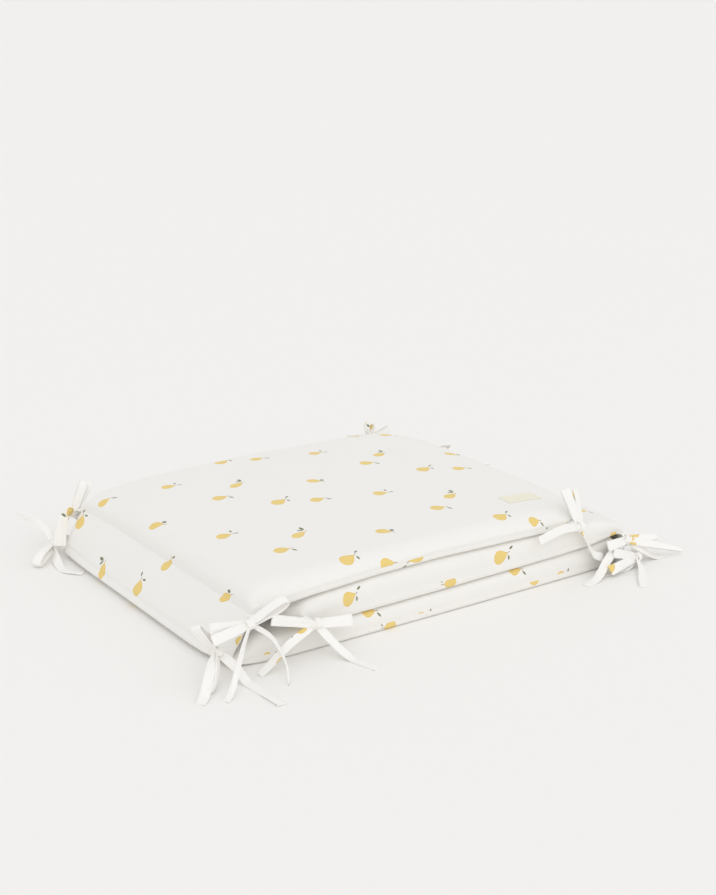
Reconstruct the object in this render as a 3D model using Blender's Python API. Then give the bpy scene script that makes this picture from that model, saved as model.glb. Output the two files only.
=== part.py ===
"""A padded cot bumper: one long stuffed strip of cloth, folded in three, its ties knotted in bows.

Metres, +Z up. X runs along the folded pile and Y from its front edge to its back edge. The
origin is the centre of the flat underside. Places in the tables are measured from the pile's
front left corner, and every object hangs from an empty at that corner.
"""

import math
from collections import namedtuple

import bmesh
import bpy
from mathutils import Vector
from mathutils.bvhtree import BVHTree

# The folded pile
PILE_LENGTH = 0.612
STRIP_WIDTH = 0.450
LAYER_GAP = 0.0014
SEAM_SHARE = 0.30  # height of a layer's edge seam above its underside, as a share of the layer

# The rounding of the strip's edges
TOP_ROLL = 0.026  # how far in from its edges the pile's top starts to round down
COVERED_ROLL = 0.015  # the same for a layer's upper face under another layer
LOWER_ROLL = 0.009
SPINE_ROLL = 0.018
EDGE_STEPS = 4
INNER_PLACES = (0.042, 0.062, 0.088, 0.145)  # from an edge, between its roll and the middle
CROWN_SHARE = 0.26  # how much lower the stuffing lies beside an edge than at the middle
DRAW_REACH = 0.028  # how far along the strip from a fold its long edges are still drawn in
CORNER_REACH = 0.085  # of the corners that a bowed line turns at its two ends
BOW_REACH = 0.170  # how far along the strip a line's bow goes on

LONG_STATIONS = 17
LEFT_FOLD_STATIONS = 6
RIGHT_FOLD_STATIONS = 5
STATION_CROWDING = 0.85

# The ties
TIE_WIDTH = 0.0115
TIE_THICKNESS = 0.0018
KNOT_RADII = (0.0072, 0.0062, 0.0068)
GATHER = 0.55  # a strip's width inside the knot, as a share of its full width
GATHER_REACH = 0.014
ROOT_SHARE = 0.7  # a root strip's width where it is sewn in, as a share of its full width
STRAND_OFFSET = 0.0013  # of each strand of a loop from the middle between them, at the knot
TIE_SEAT_GAP = 0.0007
LOOP_RINGS = 13
TAIL_RINGS = 12
ROOT_RINGS = 6

# The sewn label
LABEL_LENGTH = 0.054
LABEL_WIDTH = 0.025
LABEL_THICKNESS = 0.0008
LABEL_SEAT_GAP = 0.0004
LABEL_CENTRE = (0.476, 0.070)
LABEL_TURN = math.radians(-3)
LABEL_STEPS = (8, 4)

FRONT, BACK = 0, 1
UP = Vector((0, 0, 1))

# Heights, along the pile, of the gap over the bottom layer, of the gap over the middle one and
# of the top.
Level = namedtuple("Level", "x lower upper top")
LEVELS = (
    Level(0.060, 0.0285, 0.0620, 0.0940),
    Level(0.120, 0.0290, 0.0675, 0.0985),
    Level(0.200, 0.0298, 0.0720, 0.1020),
    Level(0.290, 0.0305, 0.0735, 0.1035),
    Level(0.385, 0.0318, 0.0715, 0.1020),
    Level(0.470, 0.0332, 0.0700, 0.0995),
    Level(0.540, 0.0352, 0.0685, 0.0970),
    Level(0.595, 0.0392, 0.0640, 0.0940),
)

# The lines where the strip is sewn flat, in the order in which they follow each other along it.
# lean is the direction, in degrees above +X, that its outer face looks there. bows are how far
# its middle, which x and z place, lies beyond its front and back ends along +X, and draws are
# how far those two ends are pulled in.
Pinch = namedtuple("Pinch", "x z lean half_thickness bows draws")
PINCHES = {
    "top_end": Pinch(0.549, 0.080, 90, 0.0012, (0.044, 0.044), (0.0, 0.0)),
    "left_upper": Pinch(0.032, 0.059, 120, 0.0030, (0.0, 0.007), (0.012, 0.0)),
    "left_lower": Pinch(-0.007, 0.009, 210, 0.0030, (-0.015, -0.004), (0.012, 0.0)),
    "right_lower": Pinch(0.619, 0.012, 313, 0.0030, (0.016, 0.016), (0.009, 0.009)),
    "right_upper": Pinch(0.616, 0.039, 43, 0.0030, (0.014, 0.014), (0.009, 0.009)),
    "middle_end": Pinch(0.060, 0.046, 90, 0.0012, (-0.032, -0.044), (0.0, 0.0)),
}

# A layer runs between two pinches. Its faces roll in to them over these lengths, at its first
# and its last pinch. Its outer face is the one that looks up in the top layer.
Layer = namedtuple("Layer", "first last outer inner outer_rolls inner_rolls seam_share crown")
LAYERS = {
    "top": Layer(
        "top_end", "left_upper", "top", "upper", (0.036, 0.030), (0.030, 0.016), SEAM_SHARE, CROWN_SHARE
    ),
    "bottom": Layer(
        "left_lower", "right_lower", "floor", "lower", (0.050, 0.040), (0.075, 0.030), 1 - SEAM_SHARE, 0
    ),
    "middle": Layer(
        "right_upper", "middle_end", "upper", "lower", (0.060, 0.034), (0.020, 0.026), SEAM_SHARE, 0
    ),
}

# Beside the left fold, where the middle layer has ended, the bottom layer puffs up and the top
# one sags: the middle of such a swelling along X, how far it reaches and how high it is.
SWELLINGS = {"lower": (0.030, 0.033, 0.014), "upper": (0.044, 0.030, -0.012)}

# The short panels that stand between the two stitched lines of a fold
Spine = namedtuple("Spine", "first last stations outer_bulge inner_bulge")
LEFT_SPINE = Spine("left_upper", "left_lower", LEFT_FOLD_STATIONS, 0.0035, 0.0015)
RIGHT_SPINE = Spine("right_lower", "right_upper", RIGHT_FOLD_STATIONS, 0.0090, 0.0005)

# Each tie: the pinch and edge it is sewn to, its knot, two loops and two tails. A loop has its
# tip, half its opening and its width at the tip, as a share. A tail has the ways that its broad
# face looks, at the knot and at the loose end, and the places it passes. A last height of 0 lies
# on the floor.
Tie = namedtuple("Tie", "pinch edge knot loops tails")
Loop = namedtuple("Loop", "tip opening tip_share")
Tail = namedtuple("Tail", "start_face end_face stops")
TIES = {
    "tie_top_left_front": Tie(
        "left_upper",
        FRONT,
        (0.020, -0.006, 0.058),
        (
            Loop((0.063, -0.015, 0.080), (-0.002, 0, 0.006), 1.0),
            Loop((-0.021, 0.010, 0.054), (0, 0, 0.005), 1.0),
        ),
        (
            Tail(
                "aside", "up", ((-0.004, -0.028, 0.040), (-0.028, -0.048, 0.010), (-0.042, -0.058, 0))
            ),
            Tail(
                "out", "aside", ((0.043, -0.014, 0.038), (0.047, -0.036, 0.016), (0.036, -0.061, 0))
            ),
        ),
    ),
    "tie_bottom_left_front": Tie(
        "left_lower",
        FRONT,
        (-0.019, 0.002, 0.031),
        (
            Loop((-0.046, 0.000, 0.069), (0.005, 0, 0.003), 1.0),
            Loop((-0.048, -0.034, 0.006), (0.007, 0, 0.003), 0.8),
        ),
        (
            Tail("out", "up", ((-0.038, -0.018, 0.024), (-0.056, -0.036, 0.006), (-0.069, -0.048, 0))),
            Tail("out", "up", ((-0.006, -0.014, 0.016), (0.000, -0.040, 0), (0.004, -0.098, 0))),
        ),
    ),
    "tie_middle_left_front": Tie(
        "middle_end",
        FRONT,
        (0.103, -0.012, 0.040),
        (
            Loop((0.054, -0.012, 0.057), (0, 0.005, 0.002), 1.0),
            Loop((0.152, -0.015, 0.034), (0, 0.005, 0.001), 1.0),
        ),
        (
            Tail("out", "up", ((0.066, -0.018, 0.028), (0.040, -0.020, 0.012), (0.021, -0.021, 0))),
            Tail("out", "up", ((0.122, -0.030, 0.012), (0.132, -0.056, 0), (0.139, -0.083, 0))),
        ),
    ),
    "tie_top_right_front": Tie(
        "top_end",
        FRONT,
        (0.509, -0.010, 0.074),
        (
            Loop((0.501, 0.014, 0.120), (-0.004, -0.002, 0), 1.0),
            Loop((0.528, 0.018, 0.114), (0.004, -0.002, 0), 1.0),
        ),
        (
            Tail("out", "out", ((0.480, -0.013, 0.078), (0.460, -0.010, 0.073), (0.440, -0.011, 0.069))),
            Tail(
                "aside", "aside", ((0.522, -0.006, 0.056), (0.538, -0.006, 0.030), (0.556, -0.006, 0.020))
            ),
        ),
    ),
    "tie_middle_right_front": Tie(
        "right_upper",
        FRONT,
        (0.599, -0.004, 0.035),
        (
            Loop((0.690, -0.020, 0.006), (0, 0.005, 0.002), 0.35),
            Loop((0.638, 0.000, 0.036), (0, 0.004, 0.001), 0.8),
        ),
        (
            Tail("out", "up", ((0.565, -0.012, 0.024), (0.530, -0.026, 0.005), (0.504, -0.033, 0))),
            Tail("out", "up", ((0.624, -0.010, 0.018), (0.646, -0.010, 0.003), (0.664, -0.010, 0))),
        ),
    ),
    "tie_bottom_right_front": Tie(
        "right_lower",
        FRONT,
        (0.612, -0.012, 0.010),
        (
            Loop((0.650, 0.026, 0.007), (0, 0.002, 0.003), 0.9),
            Loop((0.578, -0.024, 0.012), (0, 0.003, 0.003), 1.0),
        ),
        (
            Tail("out", "up", ((0.598, -0.036, 0.005), (0.578, -0.058, 0), (0.562, -0.077, 0))),
            Tail("out", "up", ((0.590, -0.020, 0.006), (0.570, -0.018, 0), (0.548, -0.016, 0))),
        ),
    ),
    "tie_top_left_back": Tie(
        "left_upper",
        BACK,
        (0.017, 0.463, 0.054),
        (
            Loop((0.036, 0.463, 0.094), (0.004, 0.002, 0), 1.0),
            Loop((0.046, 0.466, 0.091), (0.004, 0.002, 0), 1.0),
        ),
        (
            Tail("out", "out", ((0.001, 0.447, 0.060), (-0.010, 0.440, 0.042), (-0.016, 0.436, 0.021))),
            Tail("out", "up", ((0.036, 0.480, 0.036), (0.050, 0.500, 0.005), (0.056, 0.524, 0))),
        ),
    ),
    "tie_bottom_left_back": Tie(
        "left_lower",
        BACK,
        (-0.014, 0.459, 0.019),
        (
            Loop((-0.055, 0.424, 0.008), (0.001, 0, 0.006), 1.0),
            Loop((0.014, 0.488, 0.012), (0.001, 0, 0.005), 1.0),
        ),
        (
            Tail("out", "out", ((-0.016, 0.476, 0.030), (-0.024, 0.500, 0.040), (-0.038, 0.524, 0.043))),
            Tail("out", "up", ((-0.024, 0.430, 0.006), (-0.028, 0.396, 0), (-0.012, 0.372, 0))),
        ),
    ),
    "tie_middle_left_back": Tie(
        "middle_end",
        BACK,
        (0.104, 0.462, 0.040),
        (
            Loop((0.062, 0.472, 0.050), (0, 0.005, 0.002), 1.0),
            Loop((0.148, 0.468, 0.036), (0, 0.005, 0.001), 1.0),
        ),
        (
            Tail("out", "up", ((0.090, 0.480, 0.022), (0.084, 0.498, 0), (0.078, 0.518, 0))),
            Tail("out", "up", ((0.124, 0.480, 0.014), (0.140, 0.504, 0), (0.150, 0.530, 0))),
        ),
    ),
    "tie_top_right_back": Tie(
        "top_end",
        BACK,
        (0.508, 0.459, 0.075),
        (
            Loop((0.507, 0.462, 0.100), (0.006, 0.002, 0), 1.0),
            Loop((0.553, 0.474, 0.082), (0.002, 0.004, 0), 0.8),
        ),
        (
            Tail("out", "out", ((0.492, 0.464, 0.079), (0.478, 0.462, 0.081), (0.464, 0.460, 0.084))),
            Tail("out", "up", ((0.518, 0.476, 0.050), (0.512, 0.486, 0.010), (0.506, 0.506, 0))),
        ),
    ),
    "tie_middle_right_back": Tie(
        "right_upper",
        BACK,
        (0.599, 0.452, 0.036),
        (
            Loop((0.602, 0.458, 0.058), (0.004, 0.001, 0), 1.0),
            Loop((0.660, 0.458, 0.036), (0, 0.003, 0.004), 1.0),
        ),
        (
            Tail("out", "up", ((0.578, 0.464, 0.026), (0.558, 0.480, 0.004), (0.542, 0.502, 0))),
            Tail("out", "up", ((0.612, 0.476, 0.024), (0.622, 0.498, 0), (0.640, 0.522, 0))),
        ),
    ),
    "tie_bottom_right_back": Tie(
        "right_lower",
        BACK,
        (0.613, 0.462, 0.010),
        (
            Loop((0.654, 0.470, 0.010), (0, 0.003, 0.003), 1.0),
            Loop((0.582, 0.478, 0.010), (0, 0.003, 0.003), 1.0),
        ),
        (
            Tail("out", "up", ((0.640, 0.452, 0.006), (0.686, 0.447, 0), (0.732, 0.446, 0))),
            Tail("out", "up", ((0.606, 0.484, 0.004), (0.600, 0.510, 0), (0.590, 0.534, 0))),
        ),
    ),
}

# Which way a tail's broad face looks: X, outward from its long edge and Z
FACES = {"up": (0, 0, 1), "out": (0, 1, 0.2), "aside": (0.82, 0.57, 0)}

# Colours as red, green and blue, with roughness
COTTON = ("printed_cotton", (0.86, 0.85, 0.81), 0.88)
TIE_COTTON = ("tie_cotton", (0.88, 0.87, 0.82), 0.86)
LABEL_TAPE = ("label_tape", (0.85, 0.80, 0.66), 0.75)

Section = namedtuple("Section", "outer inner outer_roll inner_roll seam_share crown draws bows")


def clear_scene():
    for obj in list(bpy.data.objects):
        bpy.data.objects.remove(obj, do_unlink=True)


def material(finish):
    name, colour, roughness = finish
    made = bpy.data.materials.new(name)
    made.use_nodes = True
    shader = made.node_tree.nodes["Principled BSDF"]
    shader.inputs["Base Color"].default_value = (*colour, 1)
    shader.inputs["Roughness"].default_value = roughness
    shader.inputs["Metallic"].default_value = 0
    made.diffuse_color = (*colour, 1)
    return made


def add_object(name, mesh, finish, corner, location=(0, 0, 0)):
    obj = bpy.data.objects.new(name, mesh)
    bpy.context.scene.collection.objects.link(obj)
    obj.parent = corner
    obj.location = location
    mesh.materials.append(finish)
    mesh.shade_smooth()
    mesh.set_sharp_from_angle(angle=math.radians(50))
    return obj


def mesh_from(name, points, faces):
    mesh = bpy.data.meshes.new(name)
    mesh.from_pydata([tuple(point) for point in points], [], faces)
    built = bmesh.new()
    built.from_mesh(mesh)
    bmesh.ops.recalc_face_normals(built, faces=built.faces)
    built.to_mesh(mesh)
    built.free()
    return mesh


# The padded strip


def level(name, x):
    """Height of one of the named levels at x: smooth between the table's rows."""
    if name == "floor":
        return 0.0
    if x <= LEVELS[0].x:
        return getattr(LEVELS[0], name)
    for low, high in zip(LEVELS, LEVELS[1:]):
        if x <= high.x:
            share = (x - low.x) / (high.x - low.x)
            eased = share * share * (3 - 2 * share)
            start, stop = getattr(low, name), getattr(high, name)
            return start + (stop - start) * (0.5 * share + 0.5 * eased)
    return getattr(LEVELS[-1], name)


def layer_face(layer, face, x):
    """Height of a layer's outer or inner face away from its pinches: half a gap off the level."""
    half_gap = LAYER_GAP / 2
    name = getattr(layer, face)
    if name in ("floor", "top"):
        return level(name, x)
    above = (name == "lower" and layer.outer != "floor") or (name == "upper" and face == "inner")
    height = level(name, x) + (half_gap if above else -half_gap)
    centre, reach, rise = SWELLINGS[name]
    if layer.first != "right_upper" and abs(x - centre) < reach:
        height += rise * (1 - ((x - centre) / reach) ** 2) ** 2
    return height


def pinch_point(name, face):
    """The place, in X and Z, of a pinch's outer or inner face."""
    pinch = PINCHES[name]
    lean = math.radians(pinch.lean)
    side = 1 if face == "outer" else -1
    return (
        pinch.x + side * pinch.half_thickness * math.cos(lean),
        pinch.z + side * pinch.half_thickness * math.sin(lean),
    )


def shoulder(distance, roll, slack):
    """How far, from 0 to 1, a face has risen at this distance from its pinch. An outer face
    is full, and an inner one is slacker, so that the two sides of a fold stay apart."""
    if distance >= roll:
        return 1.0
    share = max(distance, 0) / roll
    if slack:
        return math.sin(share * math.pi / 2)
    return math.sqrt(1 - (1 - share) ** 2)


def rolled_face(layer, face, x):
    """Height of the face at x, rolled in to the pinches at both ends of the layer."""
    height = layer_face(layer, face, x)
    rolls = getattr(layer, face + "_rolls")
    for name, roll in zip((layer.first, layer.last), rolls):
        pinch_x, pinch_z = pinch_point(name, face)
        height = pinch_z + (height - pinch_z) * shoulder(abs(x - pinch_x), roll, face == "inner")
    return height


def fold_share(distance):
    """What is left, at this distance from a fold's stitched line, of how far it draws an edge in."""
    return 1 / (1 + (distance / DRAW_REACH) ** 2)


def ends_near(pinches, draw_shares, bow_shares):
    """How far the front and the back edge are drawn in and bowed, near these two pinches."""
    draws, bows = [], []
    for edge in (FRONT, BACK):
        draw = sum(pinch.draws[edge] * share for pinch, share in zip(pinches, draw_shares))
        draws.append(min(draw, max(pinch.draws[edge] for pinch in pinches)))
        bows.append(sum(pinch.bows[edge] * share for pinch, share in zip(pinches, bow_shares)))
    return draws, bows


def edge_rolls(layer):
    """How far in from the edge the layer's outer and inner faces start to round to its seam."""
    if layer.outer == "floor":
        return LOWER_ROLL, COVERED_ROLL
    return (TOP_ROLL if layer.outer == "top" else COVERED_ROLL), LOWER_ROLL


def layer_sections(layer):
    """Cross-sections of a layer between its pinches, closer together near them."""
    first, last = PINCHES[layer.first], PINCHES[layer.last]
    sections = []
    for step in range(1, LONG_STATIONS):
        share = step / LONG_STATIONS
        share -= STATION_CROWDING * math.sin(2 * math.pi * share) / (2 * math.pi)
        x = first.x + (last.x - first.x) * share
        distances = [abs(x - pinch.x) for pinch in (first, last)]
        draw_shares = [fold_share(distance) for distance in distances]
        bow_shares = [max(0.0, 1 - distance / BOW_REACH) ** 2 for distance in distances]
        ends = ends_near((first, last), draw_shares, bow_shares)
        outer = (x, rolled_face(layer, "outer", x))
        inner = (x, rolled_face(layer, "inner", x))
        sections.append(Section(outer, inner, *edge_rolls(layer), layer.seam_share, layer.crown, *ends))
    return sections


def spine_sections(spine):
    """Cross-sections of the short panel between a fold's two stitched lines."""
    sections = []
    first, last = PINCHES[spine.first], PINCHES[spine.last]
    length = math.hypot(last.x - first.x, last.z - first.z)
    outward = ((last.z - first.z) / length, -(last.x - first.x) / length)
    for step in range(1, spine.stations):
        share = step / spine.stations
        swell = math.sin(math.pi * share)
        faces = []
        for face, bulge in (("outer", spine.outer_bulge), ("inner", -spine.inner_bulge)):
            start, stop = pinch_point(spine.first, face), pinch_point(spine.last, face)
            faces.append(
                tuple(
                    begin + (end - begin) * share + push * bulge * swell
                    for begin, end, push in zip(start, stop, outward)
                )
            )
        draw_shares = (fold_share(share * length), fold_share((1 - share) * length))
        ends = ends_near((first, last), draw_shares, (1 - share, share))
        sections.append(Section(*faces, SPINE_ROLL, SPINE_ROLL, 0.5, 0, *ends))
    return sections


def pinch_section(name):
    faces = (pinch_point(name, "outer"), pinch_point(name, "inner"))
    return Section(*faces, SPINE_ROLL, SPINE_ROLL, 0.5, 0, PINCHES[name].draws, PINCHES[name].bows)


def strip_sections():
    """All cross-sections in order along the strip, with the place of each pinch among them."""
    runs = (
        ("top_end", layer_sections(LAYERS["top"])),
        ("left_upper", spine_sections(LEFT_SPINE)),
        ("left_lower", layer_sections(LAYERS["bottom"])),
        ("right_lower", spine_sections(RIGHT_SPINE)),
        ("right_upper", layer_sections(LAYERS["middle"])),
        ("middle_end", []),
    )
    sections, places = [], {}
    for name, run in runs:
        places[name] = len(sections)
        sections += [pinch_section(name)] + run
    return sections, places


def across_steps(roll):
    """Across the strip, from seam to seam: (share of the width, depth of the edge's roll)."""
    turns = [math.pi / 2 * step / EDGE_STEPS for step in range(1, EDGE_STEPS + 1)]
    half = [(roll * (1 - math.cos(turn)) / STRIP_WIDTH, math.sin(turn)) for turn in turns]
    half += [(place / STRIP_WIDTH, 1.0) for place in INNER_PLACES]
    return half + [(0.5, 1.0)] + [(1 - share, depth) for share, depth in reversed(half)]


def section_point(section, share, depth, face):
    """A point of a cross-section: share is its place across, depth is 0 at the seam."""
    (outer_x, outer_z), (inner_x, inner_z) = section.outer, section.inner
    seam_x = inner_x + section.seam_share * (outer_x - inner_x)
    seam_z = inner_z + section.seam_share * (outer_z - inner_z)
    aside = abs(2 * share - 1)
    if face == "outer":
        depth *= 1 - section.crown * aside**2
    face_x, face_z = (outer_x, outer_z) if face == "outer" else (inner_x, inner_z)
    front_draw, back_draw = section.draws
    y = front_draw + share * (STRIP_WIDTH - front_draw - back_draw)
    from_edge = min(y, STRIP_WIDTH - y)
    corner = max(0.0, 1 - from_edge / CORNER_REACH) ** 2
    bow = section.bows[FRONT if share < 0.5 else BACK]
    x = seam_x + (face_x - seam_x) * depth - bow * corner
    return Vector((x, y, seam_z + (face_z - seam_z) * depth))


def section_ring(section):
    """The points round a cross-section: the front seam, the outer face, the back seam, the inner face."""
    outer = [section_point(section, *step, "outer") for step in across_steps(section.outer_roll)]
    inner = [section_point(section, *step, "inner") for step in across_steps(section.inner_roll)]
    seams = [section_point(section, edge, 0, "outer") for edge in (FRONT, BACK)]
    return [seams[0]] + outer + [seams[1]] + inner[::-1]


def strip_mesh(sections):
    """The whole strip as one closed skin: rings round the cross-sections, capped at both ends."""
    rings = [section_ring(section) for section in sections]
    points = [point for ring in rings for point in ring]
    count = len(rings[0])
    across = count // 2 - 1
    faces = []
    for ring in range(len(sections) - 1):
        for place in range(count):
            following = (place + 1) % count
            low, high = ring * count, (ring + 1) * count
            faces.append((low + place, low + following, high + following, high + place))
    for low in (0, (len(sections) - 1) * count):
        for place in range(across + 1):
            other = (count - place) % count
            corners = [low + place, low + place + 1, low + other - 1, low + other % count]
            if place == 0:
                corners = [low, low + 1, low + count - 1]
            elif place == across:
                corners = [low + place, low + place + 1, low + place + 2]
            faces.append(tuple(corners))
    return mesh_from("bumper_pad", points, faces)


# The label


def label_mesh(pad_mesh):
    """A thin patch that follows the top face under it, a hair above it."""
    surface = BVHTree.FromPolygons(
        [vertex.co for vertex in pad_mesh.vertices],
        [polygon.vertices for polygon in pad_mesh.polygons],
    )
    long_steps, wide_steps = LABEL_STEPS
    columns = wide_steps + 1
    layers = []
    for lift in (LABEL_SEAT_GAP, LABEL_SEAT_GAP + LABEL_THICKNESS):
        for step in range(long_steps + 1):
            for column in range(columns):
                along = LABEL_LENGTH * (step / long_steps - 0.5)
                aside = LABEL_WIDTH * (column / wide_steps - 0.5)
                x = LABEL_CENTRE[0] + along * math.cos(LABEL_TURN) - aside * math.sin(LABEL_TURN)
                y = LABEL_CENTRE[1] + along * math.sin(LABEL_TURN) + aside * math.cos(LABEL_TURN)
                hit = surface.ray_cast(Vector((x, y, 1)), -UP)[0]
                layers.append(Vector((x, y, hit.z + lift)))
    top = (long_steps + 1) * columns
    faces = []
    for step in range(long_steps):
        for column in range(wide_steps):
            corner = step * columns + column
            below = (corner, corner + 1, corner + columns + 1, corner + columns)
            faces += [below, tuple(top + place for place in reversed(below))]
    rim = [(step * columns, (step + 1) * columns) for step in range(long_steps)]
    rim += [(wide_steps + (step + 1) * columns, wide_steps + step * columns) for step in range(long_steps)]
    rim += [(column + 1, column) for column in range(wide_steps)]
    last = long_steps * columns
    rim += [(last + column, last + column + 1) for column in range(wide_steps)]
    faces += [(start, stop, stop + top, start + top) for start, stop in rim]
    return mesh_from("label", layers, faces)


# The ties


def curve_through(points, count):
    """Evenly spaced points on a smooth curve that passes through the given ones."""
    points = [Vector(point) for point in points]
    ends = [2 * points[0] - points[1]] + points + [2 * points[-1] - points[-2]]
    dense = []
    for before, start, stop, after in zip(ends, ends[1:], ends[2:], ends[3:]):
        for step in range(24):
            t = step / 24
            dense.append(
                0.5
                * (
                    2 * start
                    + (stop - before) * t
                    + (2 * before - 5 * start + 4 * stop - after) * t**2
                    + (3 * start - before - 3 * stop + after) * t**3
                )
            )
    dense.append(points[-1])
    lengths = [0.0]
    for start, stop in zip(dense, dense[1:]):
        lengths.append(lengths[-1] + (stop - start).length)
    spaced, place = [], 0
    for step in range(count):
        wanted = lengths[-1] * step / (count - 1)
        while place < len(dense) - 2 and lengths[place + 1] < wanted:
            place += 1
        span = lengths[place + 1] - lengths[place]
        spaced.append(dense[place].lerp(dense[place + 1], (wanted - lengths[place]) / span))
    return spaced


def gathered_width(from_knot):
    """The strip's width at this distance from the knot, which gathers it up."""
    return TIE_WIDTH * (GATHER + (1 - GATHER) * min(1.0, from_knot / GATHER_REACH))


def strip_ring(centre, side, out, width):
    """The four corners of a strip's cross-section, none of them below the floor."""
    lowest = abs(side.z) * width / 2 + abs(out.z) * TIE_THICKNESS / 2
    centre = Vector((centre.x, centre.y, max(centre.z, lowest)))
    corners = ((1, 1), (-1, 1), (-1, -1), (1, -1))
    return [centre + side * right * width / 2 + out * up * TIE_THICKNESS / 2 for right, up in corners]


def skin_of_rings(name, rings):
    """A closed skin round four-cornered rings, in order."""
    points = [point for ring in rings for point in ring]
    last = 4 * (len(rings) - 1)
    faces = [(0, 1, 2, 3), tuple(last + corner for corner in (3, 2, 1, 0))]
    for low in range(0, last, 4):
        for corner in range(4):
            following = (corner + 1) % 4
            faces.append((low + corner, low + following, low + 4 + following, low + 4 + corner))
    return mesh_from(name, points, faces)


def ribbon_mesh(name, path, start_face, end_face, end_share=1.0):
    """A flat strip from the knot along the path. Its broad face turns from start_face to
    end_face on the way, and its width changes to end_share of the full one."""
    rings = []
    last = len(path) - 1
    for place, centre in enumerate(path):
        along = (path[min(place + 1, last)] - path[max(place - 1, 0)]).normalized()
        facing = start_face.lerp(end_face, place / last)
        side = along.cross(facing).normalized()
        out = side.cross(along).normalized()
        width = gathered_width((centre - path[0]).length) * (1 + (end_share - 1) * place / last)
        rings.append(strip_ring(centre, side, out, width))
    return skin_of_rings(name, rings)


def loop_mesh(name, knot, loop):
    """A loop of a bow: the strip goes out from the knot, round the tip and back."""
    reach = Vector(loop.tip) - knot
    opening = Vector(loop.opening)
    broad = reach.cross(opening).normalized()
    apart = opening.normalized() * STRAND_OFFSET
    rings = []
    for step in range(LOOP_RINGS):
        angle = 2 * math.pi * step / (LOOP_RINGS - 1)
        out = (1 - math.cos(angle)) / 2
        swell = opening * 1.5 * math.sin(angle) * out
        centre = knot + reach * out + swell + apart * math.cos(angle / 2)
        along = reach * math.sin(angle) + opening * 1.5 * (math.cos(angle) - math.cos(2 * angle))
        if along.length < reach.length / 10:
            along = reach * (1 if step == 0 else -1)
        outward = along.cross(broad).normalized()
        width = gathered_width(reach.length * out) * (1 + (loop.tip_share - 1) * out**2)
        rings.append(strip_ring(centre, broad, outward, width))
    return skin_of_rings(name, rings)


def knot_mesh(name):
    mesh = bpy.data.meshes.new(name)
    built = bmesh.new()
    bmesh.ops.create_icosphere(built, subdivisions=2, radius=1)
    bmesh.ops.scale(built, vec=KNOT_RADII, verts=built.verts)
    built.to_mesh(mesh)
    built.free()
    return mesh


def seat_of(tie, sections, places):
    """Where the tie is sewn: the seam's point at its pinch, a hair off the cloth."""
    section = sections[places[tie.pinch]]
    point = section_point(section, tie.edge, 0, "outer")
    outward = -1 if tie.edge == FRONT else 1
    return point + Vector((0, outward * TIE_SEAT_GAP, 0))


def face_vector(name, edge):
    x, outward, z = FACES[name]
    return Vector((x, -outward if edge == FRONT else outward, z))


def make_tie(name, tie, seat, finish, corner):
    """A bow as one solid: knot, root strip, two loops and two tails, joined."""
    knot = Vector(tie.knot)
    ribbons = bpy.data.collections.new(name + "_strips")
    bpy.context.scene.collection.children.link(ribbons)
    ribbons.hide_render = True
    halfway = Vector((0.8 * seat.x + 0.2 * knot.x, (seat.y + knot.y) / 2, 0.8 * seat.z + 0.2 * knot.z))
    root = curve_through((knot, halfway, seat), ROOT_RINGS)
    meshes = [ribbon_mesh(name + "_root", root, UP, UP, ROOT_SHARE)]
    for number, loop in enumerate(tie.loops):
        meshes.append(loop_mesh(f"{name}_loop_{number}", knot, loop))
    for number, tail in enumerate(tie.tails):
        path = curve_through((knot, *tail.stops), TAIL_RINGS)
        start_face, end_face = (face_vector(face, tie.edge) for face in tail[:2])
        meshes.append(ribbon_mesh(f"{name}_tail_{number}", path, start_face, end_face))
    for mesh in meshes:
        for vertex in mesh.vertices:
            vertex.co -= knot
        strip = bpy.data.objects.new(mesh.name, mesh)
        strip.parent = corner
        strip.location = knot
        strip.hide_render = True
        strip.display_type = "WIRE"
        ribbons.objects.link(strip)
    bow = add_object(name, knot_mesh(name), finish, corner, knot)
    union = bow.modifiers.new("strips", "BOOLEAN")
    union.operation = "UNION"
    union.solver = "EXACT"
    union.operand_type = "COLLECTION"
    union.collection = ribbons
    union.use_self = True
    return bow


def main():
    clear_scene()
    corner = bpy.data.objects.new("pile_corner", None)
    bpy.context.scene.collection.objects.link(corner)
    corner.location = (-PILE_LENGTH / 2, -STRIP_WIDTH / 2, 0)
    sections, places = strip_sections()
    pad = strip_mesh(sections)
    add_object("bumper_pad", pad, material(COTTON), corner)
    add_object("label", label_mesh(pad), material(LABEL_TAPE), corner)
    tie_finish = material(TIE_COTTON)
    for name, tie in TIES.items():
        make_tie(name, tie, seat_of(tie, sections, places), tie_finish, corner)


main()
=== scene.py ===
"""The looks of the folded cot bumper: printed cotton over soft filling, knotted cloth ties, a blank label.

Metres, +Z up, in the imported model's frame. The strip's shape is worked out from the same named
values as its solid, in places measured from the pile's front left corner, and then moved by
PILE_CORNER. All the cloth shares one print, whose repeat is worked out in the shader.
"""

import math
from collections import namedtuple

import bmesh
import bpy
from mathutils import Matrix, Vector, noise
from mathutils.bvhtree import BVHTree


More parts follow.
